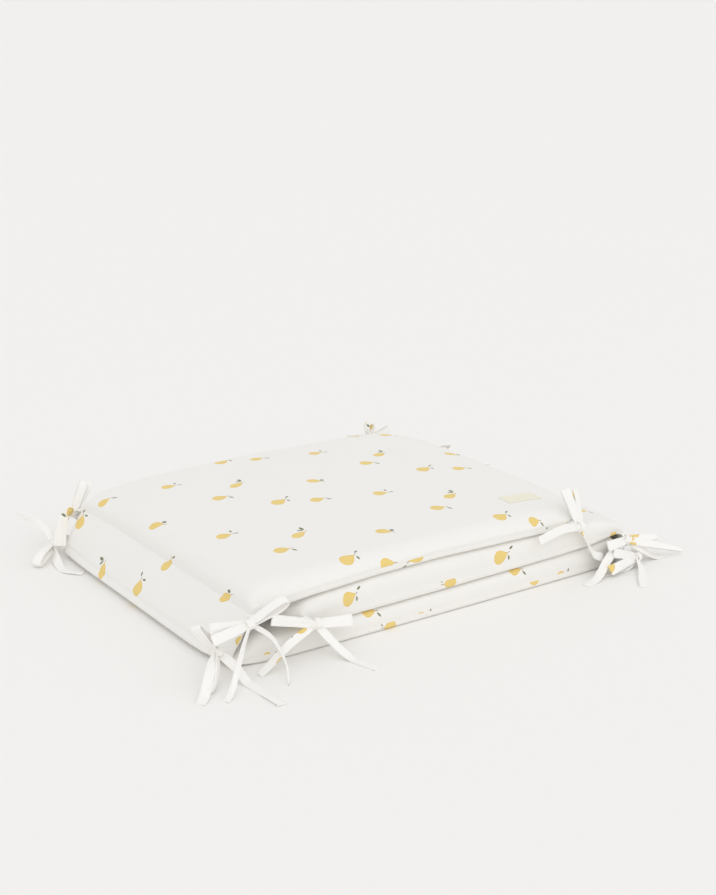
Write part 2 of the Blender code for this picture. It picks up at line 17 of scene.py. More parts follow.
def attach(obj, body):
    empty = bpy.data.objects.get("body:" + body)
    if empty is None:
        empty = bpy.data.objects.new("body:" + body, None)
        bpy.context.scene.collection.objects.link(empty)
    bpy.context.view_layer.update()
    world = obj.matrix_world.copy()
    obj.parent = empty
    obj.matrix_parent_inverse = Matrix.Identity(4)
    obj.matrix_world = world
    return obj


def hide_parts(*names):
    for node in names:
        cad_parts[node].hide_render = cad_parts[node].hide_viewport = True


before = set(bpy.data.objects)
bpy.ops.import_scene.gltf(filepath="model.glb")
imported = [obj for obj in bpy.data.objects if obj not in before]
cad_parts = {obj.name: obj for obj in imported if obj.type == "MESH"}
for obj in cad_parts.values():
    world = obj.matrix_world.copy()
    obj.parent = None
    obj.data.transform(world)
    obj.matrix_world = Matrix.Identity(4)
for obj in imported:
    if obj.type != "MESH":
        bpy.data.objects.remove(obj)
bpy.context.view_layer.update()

# The folded pile, as in the solid
PILE_CORNER = Vector((-0.306, -0.225, 0))
STRIP_WIDTH = 0.450
LAYER_GAP = 0.0014
SEAM_SHARE = 0.30
TOP_ROLL = 0.026
COVERED_ROLL = 0.015
LOWER_ROLL = 0.009
SPINE_ROLL = 0.018
CROWN_SHARE = 0.26
DRAW_REACH = 0.028
CORNER_REACH = 0.085
BOW_REACH = 0.170

# Heights along the pile: the middle of the lower and of the upper gap between layers, and the top
Level = namedtuple("Level", "x lower upper top")
LEVELS = (
    Level(0.060, 0.0285, 0.0620, 0.0940),
    Level(0.120, 0.0290, 0.0675, 0.0985),
    Level(0.200, 0.0298, 0.0720, 0.1020),
    Level(0.290, 0.0305, 0.0735, 0.1035),
    Level(0.385, 0.0318, 0.0715, 0.1020),
    Level(0.470, 0.0332, 0.0700, 0.0995),
    Level(0.540, 0.0352, 0.0685, 0.0970),
    Level(0.595, 0.0392, 0.0640, 0.0940),
)

# Where the cloth's two faces are sewn flat together: the way from the inner to the outer face, in
# degrees, and how far the line's front and back ends are bowed along the pile and drawn in
Pinch = namedtuple("Pinch", "x z lean half_thickness bows draws")
PINCHES = {
    "top_end": Pinch(0.549, 0.080, 90, 0.0012, (0.044, 0.044), (0.0, 0.0)),
    "left_upper": Pinch(0.032, 0.059, 120, 0.0030, (0.0, 0.007), (0.012, 0.0)),
    "left_lower": Pinch(-0.007, 0.009, 210, 0.0030, (-0.015, -0.004), (0.012, 0.0)),
    "right_lower": Pinch(0.619, 0.012, 313, 0.0030, (0.016, 0.016), (0.009, 0.009)),
    "right_upper": Pinch(0.616, 0.039, 43, 0.0030, (0.014, 0.014), (0.009, 0.009)),
    "middle_end": Pinch(0.060, 0.046, 90, 0.0012, (-0.032, -0.044), (0.0, 0.0)),
}
FOLD_LINES = ("left_upper", "left_lower", "right_lower", "right_upper")

Layer = namedtuple("Layer", "first last outer inner outer_rolls inner_rolls seam_share crown")
LAYERS = {
    "top": Layer("top_end", "left_upper", "top", "upper",
                 (0.036, 0.030), (0.030, 0.016), SEAM_SHARE, CROWN_SHARE),
    "bottom": Layer("left_lower", "right_lower", "floor", "lower",
                    (0.050, 0.040), (0.075, 0.030), 1 - SEAM_SHARE, 0),
    "middle": Layer("right_upper", "middle_end", "upper", "lower",
                    (0.060, 0.034), (0.020, 0.026), SEAM_SHARE, 0),
}

# How the top and the bottom layer swell into the room beside the middle one's end: where, reach, rise
SWELLINGS = {"lower": (0.030, 0.033, 0.014), "upper": (0.044, 0.030, -0.012)}

Spine = namedtuple("Spine", "first last outer_bulge inner_bulge")
LEFT_SPINE = Spine("left_upper", "left_lower", 0.0035, 0.0015)
RIGHT_SPINE = Spine("right_lower", "right_upper", 0.0090, 0.0005)

# The fine skin of the pad
STATION_STEP = 0.0017
EDGE_STEPS = 14
INNER_STEPS = 7  # between an edge's roll and the middle
FULL_EDGE = 0.58  # the power that makes a covered edge fuller than a round one
SEAM_GROOVE = (0.0011, 0.0014)  # depth, half width
FOLD_GROOVE = (0.0013, 0.0017, 0.01)  # the same, on the outer face, and how far in from the seam it starts
GROOVE_PLACES = {"left_upper": 0.0, "left_lower": -0.0095}  # how far along from the fold
HIDDEN_REACH = 0.022  # how far in from the seam a face between two layers is still creased
EDGE_STRENGTH = (0.45, 0.9, 0.06)  # of the edge's puckers: least, how much it varies, spacing
# Each of these ends with the distances from a seam or a fold over which it grows from nothing
EDGE_PUCKER = (0.00055, 0.0048, 0.011, 0.002)  # height, spacing, reach
FOLD_PUCKER = (0.0009, 0.0120, 0.022, 0.004, 0.01)  # height, spacing, reach
UNEVEN_FILL = (0.0016, 0.095, 0.03)  # height, spacing
FINE_CREASE = (0.00022, 0.016, 0.004)  # height, spacing
RIPPLES = {"edge": (0.6, 2), "fold": (0.5, 2.3)}  # a finer wave: its share, how many times finer
# Which noise each takes: the edge's puckers on either face, their finer wave and their strength,
# the fold's puckers and their finer wave, the filling and the creases
SEEDS = {"outer": 3.0, "inner": 11.0, "edge": 5.0, "strength": 7.0, "line": 17.0, "fold": 19.0,
         "fill": 2.0, "crease": 23.0}
FLAT_BELOW = 0.0015  # lower than this, the cloth lies on the floor and stays flat
STITCH_ENDS = (0.14, 0.86)  # where a stitch starts and ends, as shares of the pitch
FOLD_STITCH = (0.0031, 0.0005)  # pitch, thickness
DENSE_STEPS = 1500  # along a layer, before its stations are spaced evenly
CURVE_STEPS = 24  # between two given points of a curve, before the same

# The ties: their strips run about where the solid's do, but most loops on the front edge lie
# flatter, four bows have one more loop, and some loops reach a little further.
TIE_WIDTH = 0.0115
TIE_THICKNESS = 0.0016
KNOT_RADII = (0.0072, 0.0062, 0.0068)
GATHER = 0.75  # a strip's width inside the knot, as a share of its full width
GATHER_REACH = 0.014
ROOT_SHARE = 1.0  # a root strip's width where it is sewn in, as a share of its full width
ROOT_MIDDLE = (0.8, 0.2)  # the shares of its sewn end and of its knot in the X and Z of its middle
STRAND_OFFSET = 0.0013  # of each strand of a loop from the middle between them, at the knot
TIE_SEAT_GAP = 0.0004
RING_STEP = 0.0022
FRONT, BACK = 0, 1
UP = Vector((0, 0, 1))

FULL = (1, 1)
Tie = namedtuple("Tie", "pinch edge knot loops tails")
Loop = namedtuple("Loop", "tip opening tip_share cut", defaults=(1.0, None))
Tail = namedtuple("Tail", "stops start_face end_face widths cut", defaults=("out", "up", FULL, None))
# All in millimetres. A tail's widths are shares of the full width, at the knot and at the free end.
# A cut is where on the print the strip comes from: the number of a pear, how far along the strip and
# aside from its middle line that pear's middle lies, and the strip's turn, in degrees.
TIES = {
    "tie_top_left_front": Tie("left_upper", FRONT, (20, -6, 58), (
        Loop((63, -15, 80), (-1.8, -1.2, 4.5)),
        Loop((-29, -1, 62), (1, 1.6, -0.8), 1.1),
        Loop((-31, -11, 52), (1, 1.6, -0.8), 1.1),
    ), (
        Tail(((-4, -28, 40), (-28, -48, 10), (-42, -58, 0)), "aside", "up", (0.50, 0.66)),
        Tail(((43, -14, 38), (47, -36, 16), (36, -61, 0)), "out", "aside", (0.60, 0.20), (0, 107, 0, 180)),
    )),
    "tie_bottom_left_front": Tie("left_lower", FRONT, (-19, 2, 31), (
        Loop((-46, 0, 69), (2, 2, 1)),
        Loop((-48, -34, 6), (5, 0, 2), 0.8),
    ), (
        Tail(((-38, -18, 24), (-56, -36, 6), (-69, -48, 0)), "out", "up", (1.0, 1.1)),
        Tail(((-6, -14, 16), (0, -40, 0), (4, -98, 0))),
    )),
    "tie_middle_left_front": Tie("middle_end", FRONT, (103, -12, 40), (
        Loop((43, -14, 60), (0.8, 1.3, -0.5), 1.15),
        Loop((151, -15, 34), (0.6, 1.4, -0.6), 1.3),
    ), (
        Tail(((66, -18, 28), (40, -20, 12), (21, -21, 0)), "out", "up", (0.85, 0.85), (4, 22, 10, 0)),
        Tail(((122, -30, 12), (132, -56, 0), (139, -83, 0)), "out", "up", (1.0, 0.75)),
    )),
    "tie_top_right_front": Tie("top_end", FRONT, (509, -10, 74), (
        Loop((502, 14, 119), (0.5, 2, 0), 1.1),
        Loop((522, 16, 114), (-0.3, 1, 0), 1.1, (1, 46, 12, 0)),
    ), (
        Tail(((480, -13, 78), (460, -10, 73), (440, -11, 69)), "out", "out"),
        Tail(((522, -6, 56), (538, -6, 30), (556, -6, 20)), "aside", "aside", FULL, (3, 6, 5, 90)),
    )),
    "tie_middle_right_front": Tie("right_upper", FRONT, (599, -4, 35), (
        Loop((690, -20, 6), (0, -1.3, 0.9), 0.45, (5, 7, 2, 60)),
        Loop((655, -6, 28), (0, -1.3, 0.9), 0.6, (3, 14, -5, 0)),
        Loop((560, -11, 36), (0, 1.3, -0.6), 1.2),
    ), (
        Tail(((565, -12, 24), (530, -26, 5), (504, -33, 0))),
        Tail(((624, -10, 18), (646, -10, 3), (664, -10, 0))),
    )),
    "tie_bottom_right_front": Tie("right_lower", FRONT, (612, -12, 10), (
        Loop((650, 26, 7), (0, 2, 2), 0.9),
        Loop((550, -28, 10), (0, -1.3, 0.9), 1.2, (5, 62, 4, 0)),
        Loop((568, -14, 26), (0, 1.3, -0.6), 1.1),
    ), (
        Tail(((598, -36, 5), (578, -58, 0), (562, -77, 0))),
        Tail(((590, -20, 6), (570, -18, 0), (548, -16, 0))),
    )),
    "tie_top_left_back": Tie("left_upper", BACK, (17, 463, 54), (
        Loop((36, 463, 94), (0.5, 2, 0)),
        Loop((46, 466, 91), (0.5, 2, 0)),
        Loop((35, 459, 44), (0, 1.3, -0.6)),
    ), (
        Tail(((1, 447, 60), (-10, 440, 42), (-16, 436, 21)), "out", "out", (1.2, 1.6), (4, 16, 0, 0)),
        Tail(((36, 480, 36), (50, 500, 5), (56, 524, 0))),
    )),
    "tie_bottom_left_back": Tie("left_lower", BACK, (-14, 459, 19), (
        Loop((-55, 424, 8), (1, 0, 6)),
        Loop((14, 488, 12), (1, 0, 5)),
    ), (
        Tail(((-16, 476, 30), (-24, 500, 40), (-38, 524, 43)), "out", "out"),
        Tail(((-24, 430, 6), (-28, 396, 0), (-12, 372, 0))),
    )),
    "tie_middle_left_back": Tie("middle_end", BACK, (104, 462, 40), (
        Loop((62, 472, 50), (0, 5, 2)),
        Loop((148, 468, 36), (0, 5, 1)),
    ), (
        Tail(((90, 480, 22), (84, 498, 0), (78, 518, 0))),
        Tail(((124, 480, 14), (140, 504, 0), (150, 530, 0))),
    )),
    "tie_top_right_back": Tie("top_end", BACK, (508, 459, 75), (
        Loop((507, 462, 100), (6, 2, 0), 1.0, (2, 24, 6, 0)),
        Loop((553, 474, 82), (2, 4, 0), 0.8),
    ), (
        Tail(((492, 464, 79), (478, 462, 81), (464, 460, 84)), "out", "out", FULL, (0, 26, 5, 0)),
        Tail(((518, 476, 50), (512, 486, 10), (506, 506, 0))),
    )),
    "tie_middle_right_back": Tie("right_upper", BACK, (599, 452, 36), (
        Loop((602, 458, 58), (4, 1, 0)),
        Loop((660, 458, 36), (0, 3, 4)),
    ), (
        Tail(((578, 464, 26), (558, 480, 4), (542, 502, 0))),
        Tail(((612, 476, 24), (622, 498, 0), (640, 522, 0))),
    )),
    "tie_bottom_right_back": Tie("right_lower", BACK, (613, 462, 10), (
        Loop((654, 470, 10), (0, 3, 3)),
        Loop((582, 478, 10), (0, 3, 3)),
    ), (
        Tail(((640, 452, 6), (686, 447, 0), (732, 446, 0))),
        Tail(((606, 484, 4), (600, 510, 0), (590, 534, 0))),
    )),
}
# Which way a strip's face looks: x, outward from the long edge, z
FACES = {"up": (0, 0, 1), "out": (0, 1, 0.2), "aside": (0.82, 0.57, 0)}

# Across a ribbon, from its middle to an edge: (place, thickness there), both as shares
RIBBON_HALF = ((0.22, 1.08), (0.44, 1.05), (0.66, 1.0), (0.80, 0.72), (0.93, 1.0), (1.0, 0.35))
RIBBON_PROFILE = [(-place, thick) for place, thick in reversed(RIBBON_HALF)] + [(0.0, 1.08), *RIBBON_HALF]
PLEATS = (0.0008, 0.00012, 0.011)  # depth at the knot, depth far from it, reach
PLEAT_TURNS = (7.5, 60)  # how the pleats' wave runs across the strip and along it, in radians
CUP = (0.0022, 0.012)  # how deeply a root or tail is cupped at the knot, reach
LOOP_CUP = (-0.0020, 0.012)
CUP_MIDDLE = 0.4  # keeps a cupped strip's middle in place
CUP_WAVE = (0.0003, 0.02)  # height, spacing
SWAY = (0.16, 0.03)  # how far, in radians, a root or tail is twisted to and fro, spacing
DRIFT = (0.0007, 0.018, 0.01)  # how far it wanders, spacing, the distance from the knot where that starts
LOOP_FAN = 0.10  # how far, in radians, the two strands of a loop are turned apart
LOOP_SWAY = (0.12, 0.02)
LOOP_BULGE = 1.5
LOOP_STEPS = 24  # of a loop, at least
KNOT_CORE = 0.86  # its size, as a share of the knot's
KNOT_CREASE = (0.10, 0.55, 1.6, 0.8)  # height as a share, spacing, how fast along the knot, upwards
WRAP_STEPS = 28
WRAP_RADIUS = 0.92  # as a share of the knot's
WRAP_WIDTH, WRAP_CUP, WRAP_PLEAT, WRAP_DRIFT = 0.0085, 0.0006, 0.0005, 0.0011
DRIFT_SEED, CUP_SEED, LOOP_SEED, TAIL_SEED = 4, 9, 20, 40  # each is added to the tie's number
TIE_SHARP = 70  # degrees between faces, from which their edge is drawn sharp

# The sewn label
LABEL_LENGTH = 0.054
LABEL_WIDTH = 0.025
LABEL_THICKNESS = 0.0008
LABEL_CENTRE = (0.476, 0.070)
LABEL_TURN = math.radians(-3)
LABEL_STEPS = (36, 18)
LABEL_SEAT = 0.0002
LABEL_END, LABEL_EDGE = 0.004, 0.001  # the label thins out over these distances
LABEL_PILLOW = (0.35, 0.6)  # thickness left at the ends, and of the rest at the edges, as shares
LABEL_SHARP = 60
LABEL_STITCH = (0.0023, 0.0004)  # pitch, thickness
LABEL_STITCH_INSET = 0.0016
LABEL_STITCH_LIFT = 0.6  # as a share of the label's thickness
LABEL_STITCH_STEPS = 12

# The print, in metres on the flat cloth. One repeat holds six pears, each turned so many degrees,
# and each leaf's place and turn are from the middle of its pear and the way the stem points.
REPEAT = ((0.2395, 0.0085), (-0.0310, -0.2045))
Leaf = namedtuple("Leaf", "x y turn half_length half_width")
Pear = namedtuple("Pear", "x y turn length half_width bend leaves")
PEARS = (
    Pear(0.1418, 0.3719, -7, 0.0205, 0.0079, 0.0,
         (Leaf(0.0114, 0.0080, -86, 0.0036, 0.0017), Leaf(0.0156, -0.0010, -13, 0.0037, 0.0014))),
    Pear(0.2150, 0.3161, 23, 0.0245, 0.0073, 0.0006,
         (Leaf(0.0112, 0.0070, -50, 0.0047, 0.0019), Leaf(0.0172, 0.0092, -118, 0.0058, 0.0026))),
    Pear(0.1730, 0.2882, -10, 0.0213, 0.0083, -0.0004, (Leaf(0.0134, -0.0064, -58, 0.0049, 0.0017),)),
    Pear(0.2992, 0.4054, -7, 0.0203, 0.0077, -0.0003, (Leaf(0.0140, -0.0052, -44, 0.0045, 0.0016),)),
    Pear(0.2234, 0.2222, 21, 0.0238, 0.0093, 0.0006,
         (Leaf(0.0196, 0.0031, 7, 0.0041, 0.0017), Leaf(0.0107, -0.0066, -108, 0.0040, 0.0017))),
    Pear(0.3054, 0.2656, -49, 0.0218, 0.0070, 0.0004, (Leaf(0.0084, 0.0060, -36, 0.0036, 0.0029),)),
)
PEAR_TAPER = (0.948, 0.435, 0.35)
STEM = (0.0040, 0.00045, 0.001, 0.0003)  # length, half width, over what they fade
RIM = (0.00044, 0.00176)  # how far in from its outline a pear's rim fades
SOFT_EDGE = 0.0005  # over which the print's edges fade

# What is added to a place on the flat strip, in metres along and across it, to give its place on
# the print. The outer cloth lies a little askew from the left fold on.
PRINT_OUTER = (0.5795, 0.2250)
PRINT_INNER = (-0.1030, 0.2520)
LEFT_ASKEW = (0.090, 0.115, (-0.035, -0.15))  # from here on, over this length, this much per metre
# How the print lies on the lower layers, whose cloth is slack and a little askew: from the place
# pivot it is stretched and turned, and this much is added, all per metre or in metres.
Lay = namedtuple("Lay", "pivot x y stretch turn")
LOWER_PRINTS = {
    ("bottom", "outer"): Lay(-0.4996, 0.0085, -0.0030, 0.06, 0),
    ("bottom", "inner"): Lay(0.910, 0.0460, -0.0110, 0.06, 0.038),
    ("middle", "outer"): Lay(-1.039, -0.0587, -0.0010, 0.0135, 0.036),
    ("middle", "inner"): Lay(0, -0.0230, 0.0160, 0, 0),
}

# Colours, as linear red, green and blue
CLOTH = (0.945, 0.928, 0.893)
CLOTH_SHADE = (0.899, 0.878, 0.832)
# The ties' cotton is the pad's printed cotton painted lighter all over: painted light, so that the ties read
# brighter than the pad
TIE_CLOTH_PAINTED_LIGHTER = (0.985, 0.968, 0.935)
TIE_SHADE_PAINTED_LIGHTER = (0.965, 0.944, 0.905)
PEAR_YELLOW = (0.93, 0.77, 0.325)
PEAR_RIM = (0.82, 0.515, 0.095)
LEAF_GREEN = (0.225, 0.250, 0.118)
STEM_BROWN = (0.33, 0.25, 0.13)
LABEL_CREAM = (0.935, 0.895, 0.745)
THREAD = (0.86, 0.80, 0.69)
FLOOR = (0.945, 0.930, 0.905)
LIGHT = (0.9853, 0.9918, 1.0)

BLANK_PRINT = (0.200, 0.126, math.radians(4))  # the start and the turn of a strip with no pear

# The surfaces, and their noises as (scale, detail, roughness)
CLOTH_SURFACE = {
    "Roughness": 0.9, "Sheen Weight": 0.12, "Sheen Roughness": 0.5, "Specular IOR Level": 0.25,
}
FLOOR_SURFACE = {"Roughness": 0.95, "Specular IOR Level": 0.1}
THREAD_SURFACE = {"Roughness": 0.7}
SLUB, TONE, WASH = (160.0, 3.0, 0.6), (14.0, 3.0, 0.5), (190.0, 3.0, 0.6)
FLOOR_TONE, THREAD_TONE = (3.0, 2.0, 0.5), (900.0, 2.0, 0.5)
SHADE_SHARES = (0.35, 0.5)  # of the slub and the tone in the cloth's shade
SHADE_STEP, WASH_STEP = (0.25, 0.65), (0.38, 0.62)
WASH_INK, RIM_INK, STEM_INK, LEAF_INK = 0.80, 0.9, 0.75, 0.94  # how strong each part of the print is
LEAF_SHADE, LABEL_SHADE, FLOOR_SHADE = 0.6, 0.92, 0.995
WEAVE, LABEL_WEAVE = 0.00055, 0.0009  # how far apart the threads lie
SLUB_HEIGHT = 0.6
BUMP = (0.5, 0.00012)  # strength, distance

# The camera: place from the pile's corner, heading on the floor, and pitch below level
CAMERA_PLACE = Vector((-0.7699, -1.3694, 0.7458))
CAMERA_HEADING = (0.5658, 0.8245)
CAMERA_PITCH = math.radians(17.04)
CAMERA_LENS = 61.34
SENSOR = 36.0
FAR = 400

# The studio: each light as (the direction that it shines from, strength)
LIGHTS = {"softbox": ((-1.27, -1.88, 2.26), 0.528), "side_fill": ((1.85, -1.85, 1.84), 0.2245)}
LIGHT_SPREAD = math.radians(60)
WORLD_STRENGTH = 0.793
FLOOR_RADIUS = 120


# Shader nodes


class Graph:
    """A short way to write shader nodes: each call adds one node and gives its output."""

    def __init__(self, tree):
        self.tree = tree

    def add(self, kind, *values, output=0, **settings):
        made = self.tree.nodes.new("ShaderNode" + kind)
        for name, value in settings.items():
            setattr(made, name, value)
        sockets = [socket for socket in made.inputs if socket.enabled]
        for socket, value in zip(sockets, values):
            self.put(socket, value)
        return made.outputs[output]

    def put(self, socket, value):
        if isinstance(value, bpy.types.NodeSocket):
            self.tree.links.new(value, socket)
        elif value is not None:
            socket.default_value = value

    def math(self, operation, *values):
        return self.add("Math", *values, operation=operation)

    def times(self, first, second):
        return self.math("MULTIPLY", first, second)

    def minus(self, first, second):
        return self.math("SUBTRACT", first, second)

    def noise(self, place, settings):
        return self.add("TexNoise", place, None, *settings)

    def vector(self, operation, *values, output=0):
        return self.add("VectorMath", *values, operation=operation, output=output)

    def split(self, value):
        parts = self.tree.nodes.new("ShaderNodeSeparateXYZ")
        self.put(parts.inputs[0], value)
        return parts.outputs[0], parts.outputs[1]

    def scale(self, value, size):
        scaled = self.vector("SCALE", value)
        self.put(scaled.node.inputs["Scale"], size)
        return scaled

    def turn(self, value, degrees):
        turned = self.add("VectorRotate", value, rotation_type="Z_AXIS")
        turned.node.inputs["Angle"].default_value = math.radians(degrees)
        return turned

    def group(self, tree, **values):
        node = self.tree.nodes.new("ShaderNodeGroup")
        node.node_tree = tree
        for name, value in values.items():
            self.put(node.inputs[name], value)
        return node.outputs

    def step(self, value, low, high):
        """0 below low, 1 above high, smooth between."""
        return self.add("MapRange", value, low, high, 0.0, 1.0, interpolation_type="SMOOTHSTEP")

    def mix(self, share, first, second):
        node = self.tree.nodes.new("ShaderNodeMix")
        node.data_type = "RGBA"
        self.put(node.inputs["Factor"], share)
        for socket, colour in (("A", first), ("B", second)):
            self.put(node.inputs[socket], (*colour, 1) if isinstance(colour, tuple) else colour)
        return node.outputs["Result"]


def new_group(name, floats, results):
    """A node group that takes a place and these values, with a Graph to fill it."""
    group = bpy.data.node_groups.new(name, "ShaderNodeTree")
    sockets = [("Place", "INPUT", "Vector")]
    sockets += [(title, "INPUT", "Float") for title in floats]
    sockets += [(title, "OUTPUT", "Float") for title in results]
    for title, way, kind in sockets:
        group.interface.new_socket(title, in_out=way, socket_type="NodeSocket" + kind)
    given = group.nodes.new("NodeGroupInput").outputs
    result = group.nodes.new("NodeGroupOutput").inputs
    return group, Graph(group), given, result


def leaf_group():
    """A node group that draws one pointed leaf at the origin, along X."""
    group, graph, given, result = new_group("leaf", ["Half length", "Half width"], ["Leaf"])
    along, across = graph.split(given["Place"])
    share = graph.math("DIVIDE", along, given["Half length"])
    width = graph.times(given["Half width"], graph.minus(1.0, graph.times(share, share)))
    inside = graph.minus(width, graph.math("ABSOLUTE", across))
    graph.put(result["Leaf"], graph.step(inside, 0.0, SOFT_EDGE))
    return group


def pear_group():
    """A node group that draws one pear at the origin, with its stem towards +X."""
    values = ("Length", "Half width", "Bend")
    group, graph, given, result = new_group("pear", values, ("Fruit", "Rim", "Stem"))
    along, across = graph.split(given["Place"])
    share = graph.math("DIVIDE", graph.times(along, 2.0), given["Length"])
    from_end = graph.math("MAXIMUM", 0.0, graph.minus(1.0, graph.times(share, share)))
    full, narrowing, neck = PEAR_TAPER
    slope = graph.math("MULTIPLY_ADD", share, neck, narrowing)
    taper = graph.minus(full, graph.times(share, slope))
    width = graph.times(graph.times(given["Half width"], graph.math("SQRT", from_end)), taper)
    middle = graph.times(given["Bend"], from_end)
    aside = graph.math("ABSOLUTE", graph.minus(across, middle))
    inside = graph.minus(width, aside)
    fruit = graph.step(inside, 0.0, SOFT_EDGE)
    beyond = graph.minus(along, graph.times(given["Length"], 0.5))
    length, half_width, fade, side_fade = STEM
    stem = graph.times(graph.step(beyond, -fade, 0.0), graph.step(beyond, length, length - fade))
    stem = graph.times(stem, graph.step(aside, half_width + side_fade, half_width))
    graph.put(result["Fruit"], fruit)
    graph.put(result["Rim"], graph.minus(fruit, graph.step(inside, *RIM)))
    graph.put(result["Stem"], stem)
    return group


def print_group(pear, leaf):
    """A node group that gives the whole print's masks at a place on the flat cloth, in metres."""
    names = ("Fruit", "Rim", "Leaf", "Stem")
    group, graph, given, result = new_group("pear_print", [], names)
    (ax, ay), (bx, by) = REPEAT
    area = ax * by - ay * bx
    to_first = (by / area, -bx / area, 0)
    to_second = (-ay / area, ax / area, 0)
    masks = {name: [] for name in names}
    for motif in PEARS:
        offset = graph.vector("SUBTRACT", given["Place"], (motif.x, motif.y, 0))
        near = None
        for way, (step_x, step_y) in ((to_first, REPEAT[0]), (to_second, REPEAT[1])):
            share = graph.vector("DOT_PRODUCT", offset, way, output="Value")
            share = graph.math("WRAP", share, 0.5, -0.5)
            scaled = graph.scale((step_x, step_y, 0), share)
            near = scaled if near is None else graph.vector("ADD", near, scaled)
        near = graph.turn(near, -motif.turn)
        fruit = graph.group(
            pear, Place=near, Length=motif.length, Bend=motif.bend, **{"Half width": motif.half_width}
        )
        for name in ("Fruit", "Rim", "Stem"):
            masks[name].append(fruit[name])
        for blade in motif.leaves:
            local = graph.vector("SUBTRACT", near, (blade.x, blade.y, 0))
            local = graph.turn(local, -blade.turn)
            sizes = {"Half length": blade.half_length, "Half width": blade.half_width}
            masks["Leaf"].append(graph.group(leaf, Place=local, **sizes)["Leaf"])
    for name in names:
        largest = masks[name][0]
        for mask in masks[name][1:]:
            largest = graph.math("MAXIMUM", largest, mask)
        graph.put(result[name], largest)
    return group


def weave(graph, place, thread):
    """The height, from 0 to 1, of a plain weave whose threads lie this far apart."""
    along, across = graph.split(graph.scale(place, 2 * math.pi / thread))
    product = graph.math("MULTIPLY", graph.math("SINE", along), graph.math("SINE", across))
    return graph.math("MULTIPLY_ADD", product, 0.5, 0.5)


def shaded(colour, share):
    return tuple(share * part for part in colour)


def new_material(name, values):
    """A material with these values, with a Graph to add to its nodes."""
    made = bpy.data.materials.new(name)
    made.use_nodes = True
    shader = made.node_tree.nodes["Principled BSDF"]
    for title, value in values.items():
        shader.inputs[title].default_value = value
    return made, Graph(made.node_tree), shader


def cloth_material(name, colour, shade, printed, thread=WEAVE):
    """Plain-woven cotton, with the print where printed is its node group."""
    made, graph, shader = new_material(name, CLOTH_SURFACE)
    place = graph.add("UVMap", uv_map="cloth")
    slub = graph.noise(place, SLUB)
    tone = graph.noise(place, TONE)
    share = graph.math("MULTIPLY_ADD", slub, SHADE_SHARES[0], graph.times(tone, SHADE_SHARES[1]))
    base = graph.mix(graph.step(share, *SHADE_STEP), colour, shade)
    if printed:
        masks = graph.group(printed, Place=place)
        wash = graph.step(graph.noise(place, WASH), *WASH_STEP)
        fruit = graph.mix(graph.times(wash, WASH_INK), PEAR_YELLOW, PEAR_RIM)
        fruit = graph.mix(graph.times(masks["Rim"], RIM_INK), fruit, PEAR_RIM)
        leaf = graph.mix(wash, LEAF_GREEN, shaded(LEAF_GREEN, LEAF_SHADE))
        base = graph.mix(masks["Fruit"], base, fruit)
        base = graph.mix(graph.times(masks["Stem"], STEM_INK), base, STEM_BROWN)
        base = graph.mix(graph.times(masks["Leaf"], LEAF_INK), base, leaf)
    graph.put(shader.inputs["Base Color"], base)
    bump = graph.tree.nodes.new("ShaderNodeBump")
    bump.inputs["Strength"].default_value, bump.inputs["Distance"].default_value = BUMP
    height = graph.math("MULTIPLY_ADD", slub, SLUB_HEIGHT, weave(graph, place, thread))
    graph.put(bump.inputs["Height"], height)
    graph.put(shader.inputs["Normal"], bump.outputs[0])
    return made


def plain_material(name, values, pattern, first, second):
    """A material of one colour that changes to another here and there."""
    made, graph, shader = new_material(name, values)
    tone = graph.noise(graph.add("TexCoord", output="Object"), pattern)
    graph.put(shader.inputs["Base Color"], graph.mix(tone, first, second))
    return made


# Meshes


def new_cloth():
    """An empty bmesh, and its layer that says where on the flat cloth each corner lies."""
    built = bmesh.new()
    return built, built.loops.layers.uv.new("cloth")


def add_face(built, layer, corners):
    """A face through corners, each a vertex and its place on the flat cloth."""
    made = built.faces.new([vertex for vertex, _ in corners])
    for loop, (_, place) in zip(made.loops, corners):
        loop[layer].uv = place


def finished(name, built, sharp=None):
    """The mesh of built, shaded smooth apart from edges sharper than so many degrees."""
    mesh = bpy.data.meshes.new(name)
    built.to_mesh(mesh)
    built.free()
    mesh.shade_smooth()
    if sharp:
        mesh.set_sharp_from_angle(angle=math.radians(sharp))
    return mesh


def new_object(name, data):
    made = bpy.data.objects.new(name, data)
    bpy.context.scene.collection.objects.link(made)
    return made


def add_piece(name, mesh, material):
    piece = new_object(name, mesh)
    mesh.materials.append(material)
    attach(piece, "root")
    return piece


def running_lengths(points):
    lengths = [0.0]
    for start, stop in zip(points, points[1:]):
        lengths.append(lengths[-1] + (stop - start).length)
    return lengths


def marks(lengths, wanted):
    """For each wanted running length, the point before it and the share of the way to the next."""
    near = 0
    for length in wanted:
        while near < len(lengths) - 2 and lengths[near + 1] < length:
            near += 1
        yield near, (length - lengths[near]) / (lengths[near + 1] - lengths[near])


def grown(distance, reach):
    """0 at no distance, and 1 from this reach on."""
    return min(1.0, distance / reach)


def bell(distance, width):
    return math.exp(-((distance / width) ** 2))


def wave(place, spacing, seed):
    """Smooth noise along one line, from -1 to 1, whose waves lie about this far apart."""
    return noise.noise(Vector((place / spacing, seed, 0.37 * seed)))


# The padded strip


def level(name, x):
    if name == "floor":
        return 0.0
    if x <= LEVELS[0].x:
        return getattr(LEVELS[0], name)
    for low, high in zip(LEVELS, LEVELS[1:]):
        if x <= high.x:
            share = (x - low.x) / (high.x - low.x)
            eased = share * share * (3 - 2 * share)
            start, stop = getattr(low, name), getattr(high, name)
            return start + (stop - start) * (0.5 * share + 0.5 * eased)
    return getattr(LEVELS[-1], name)


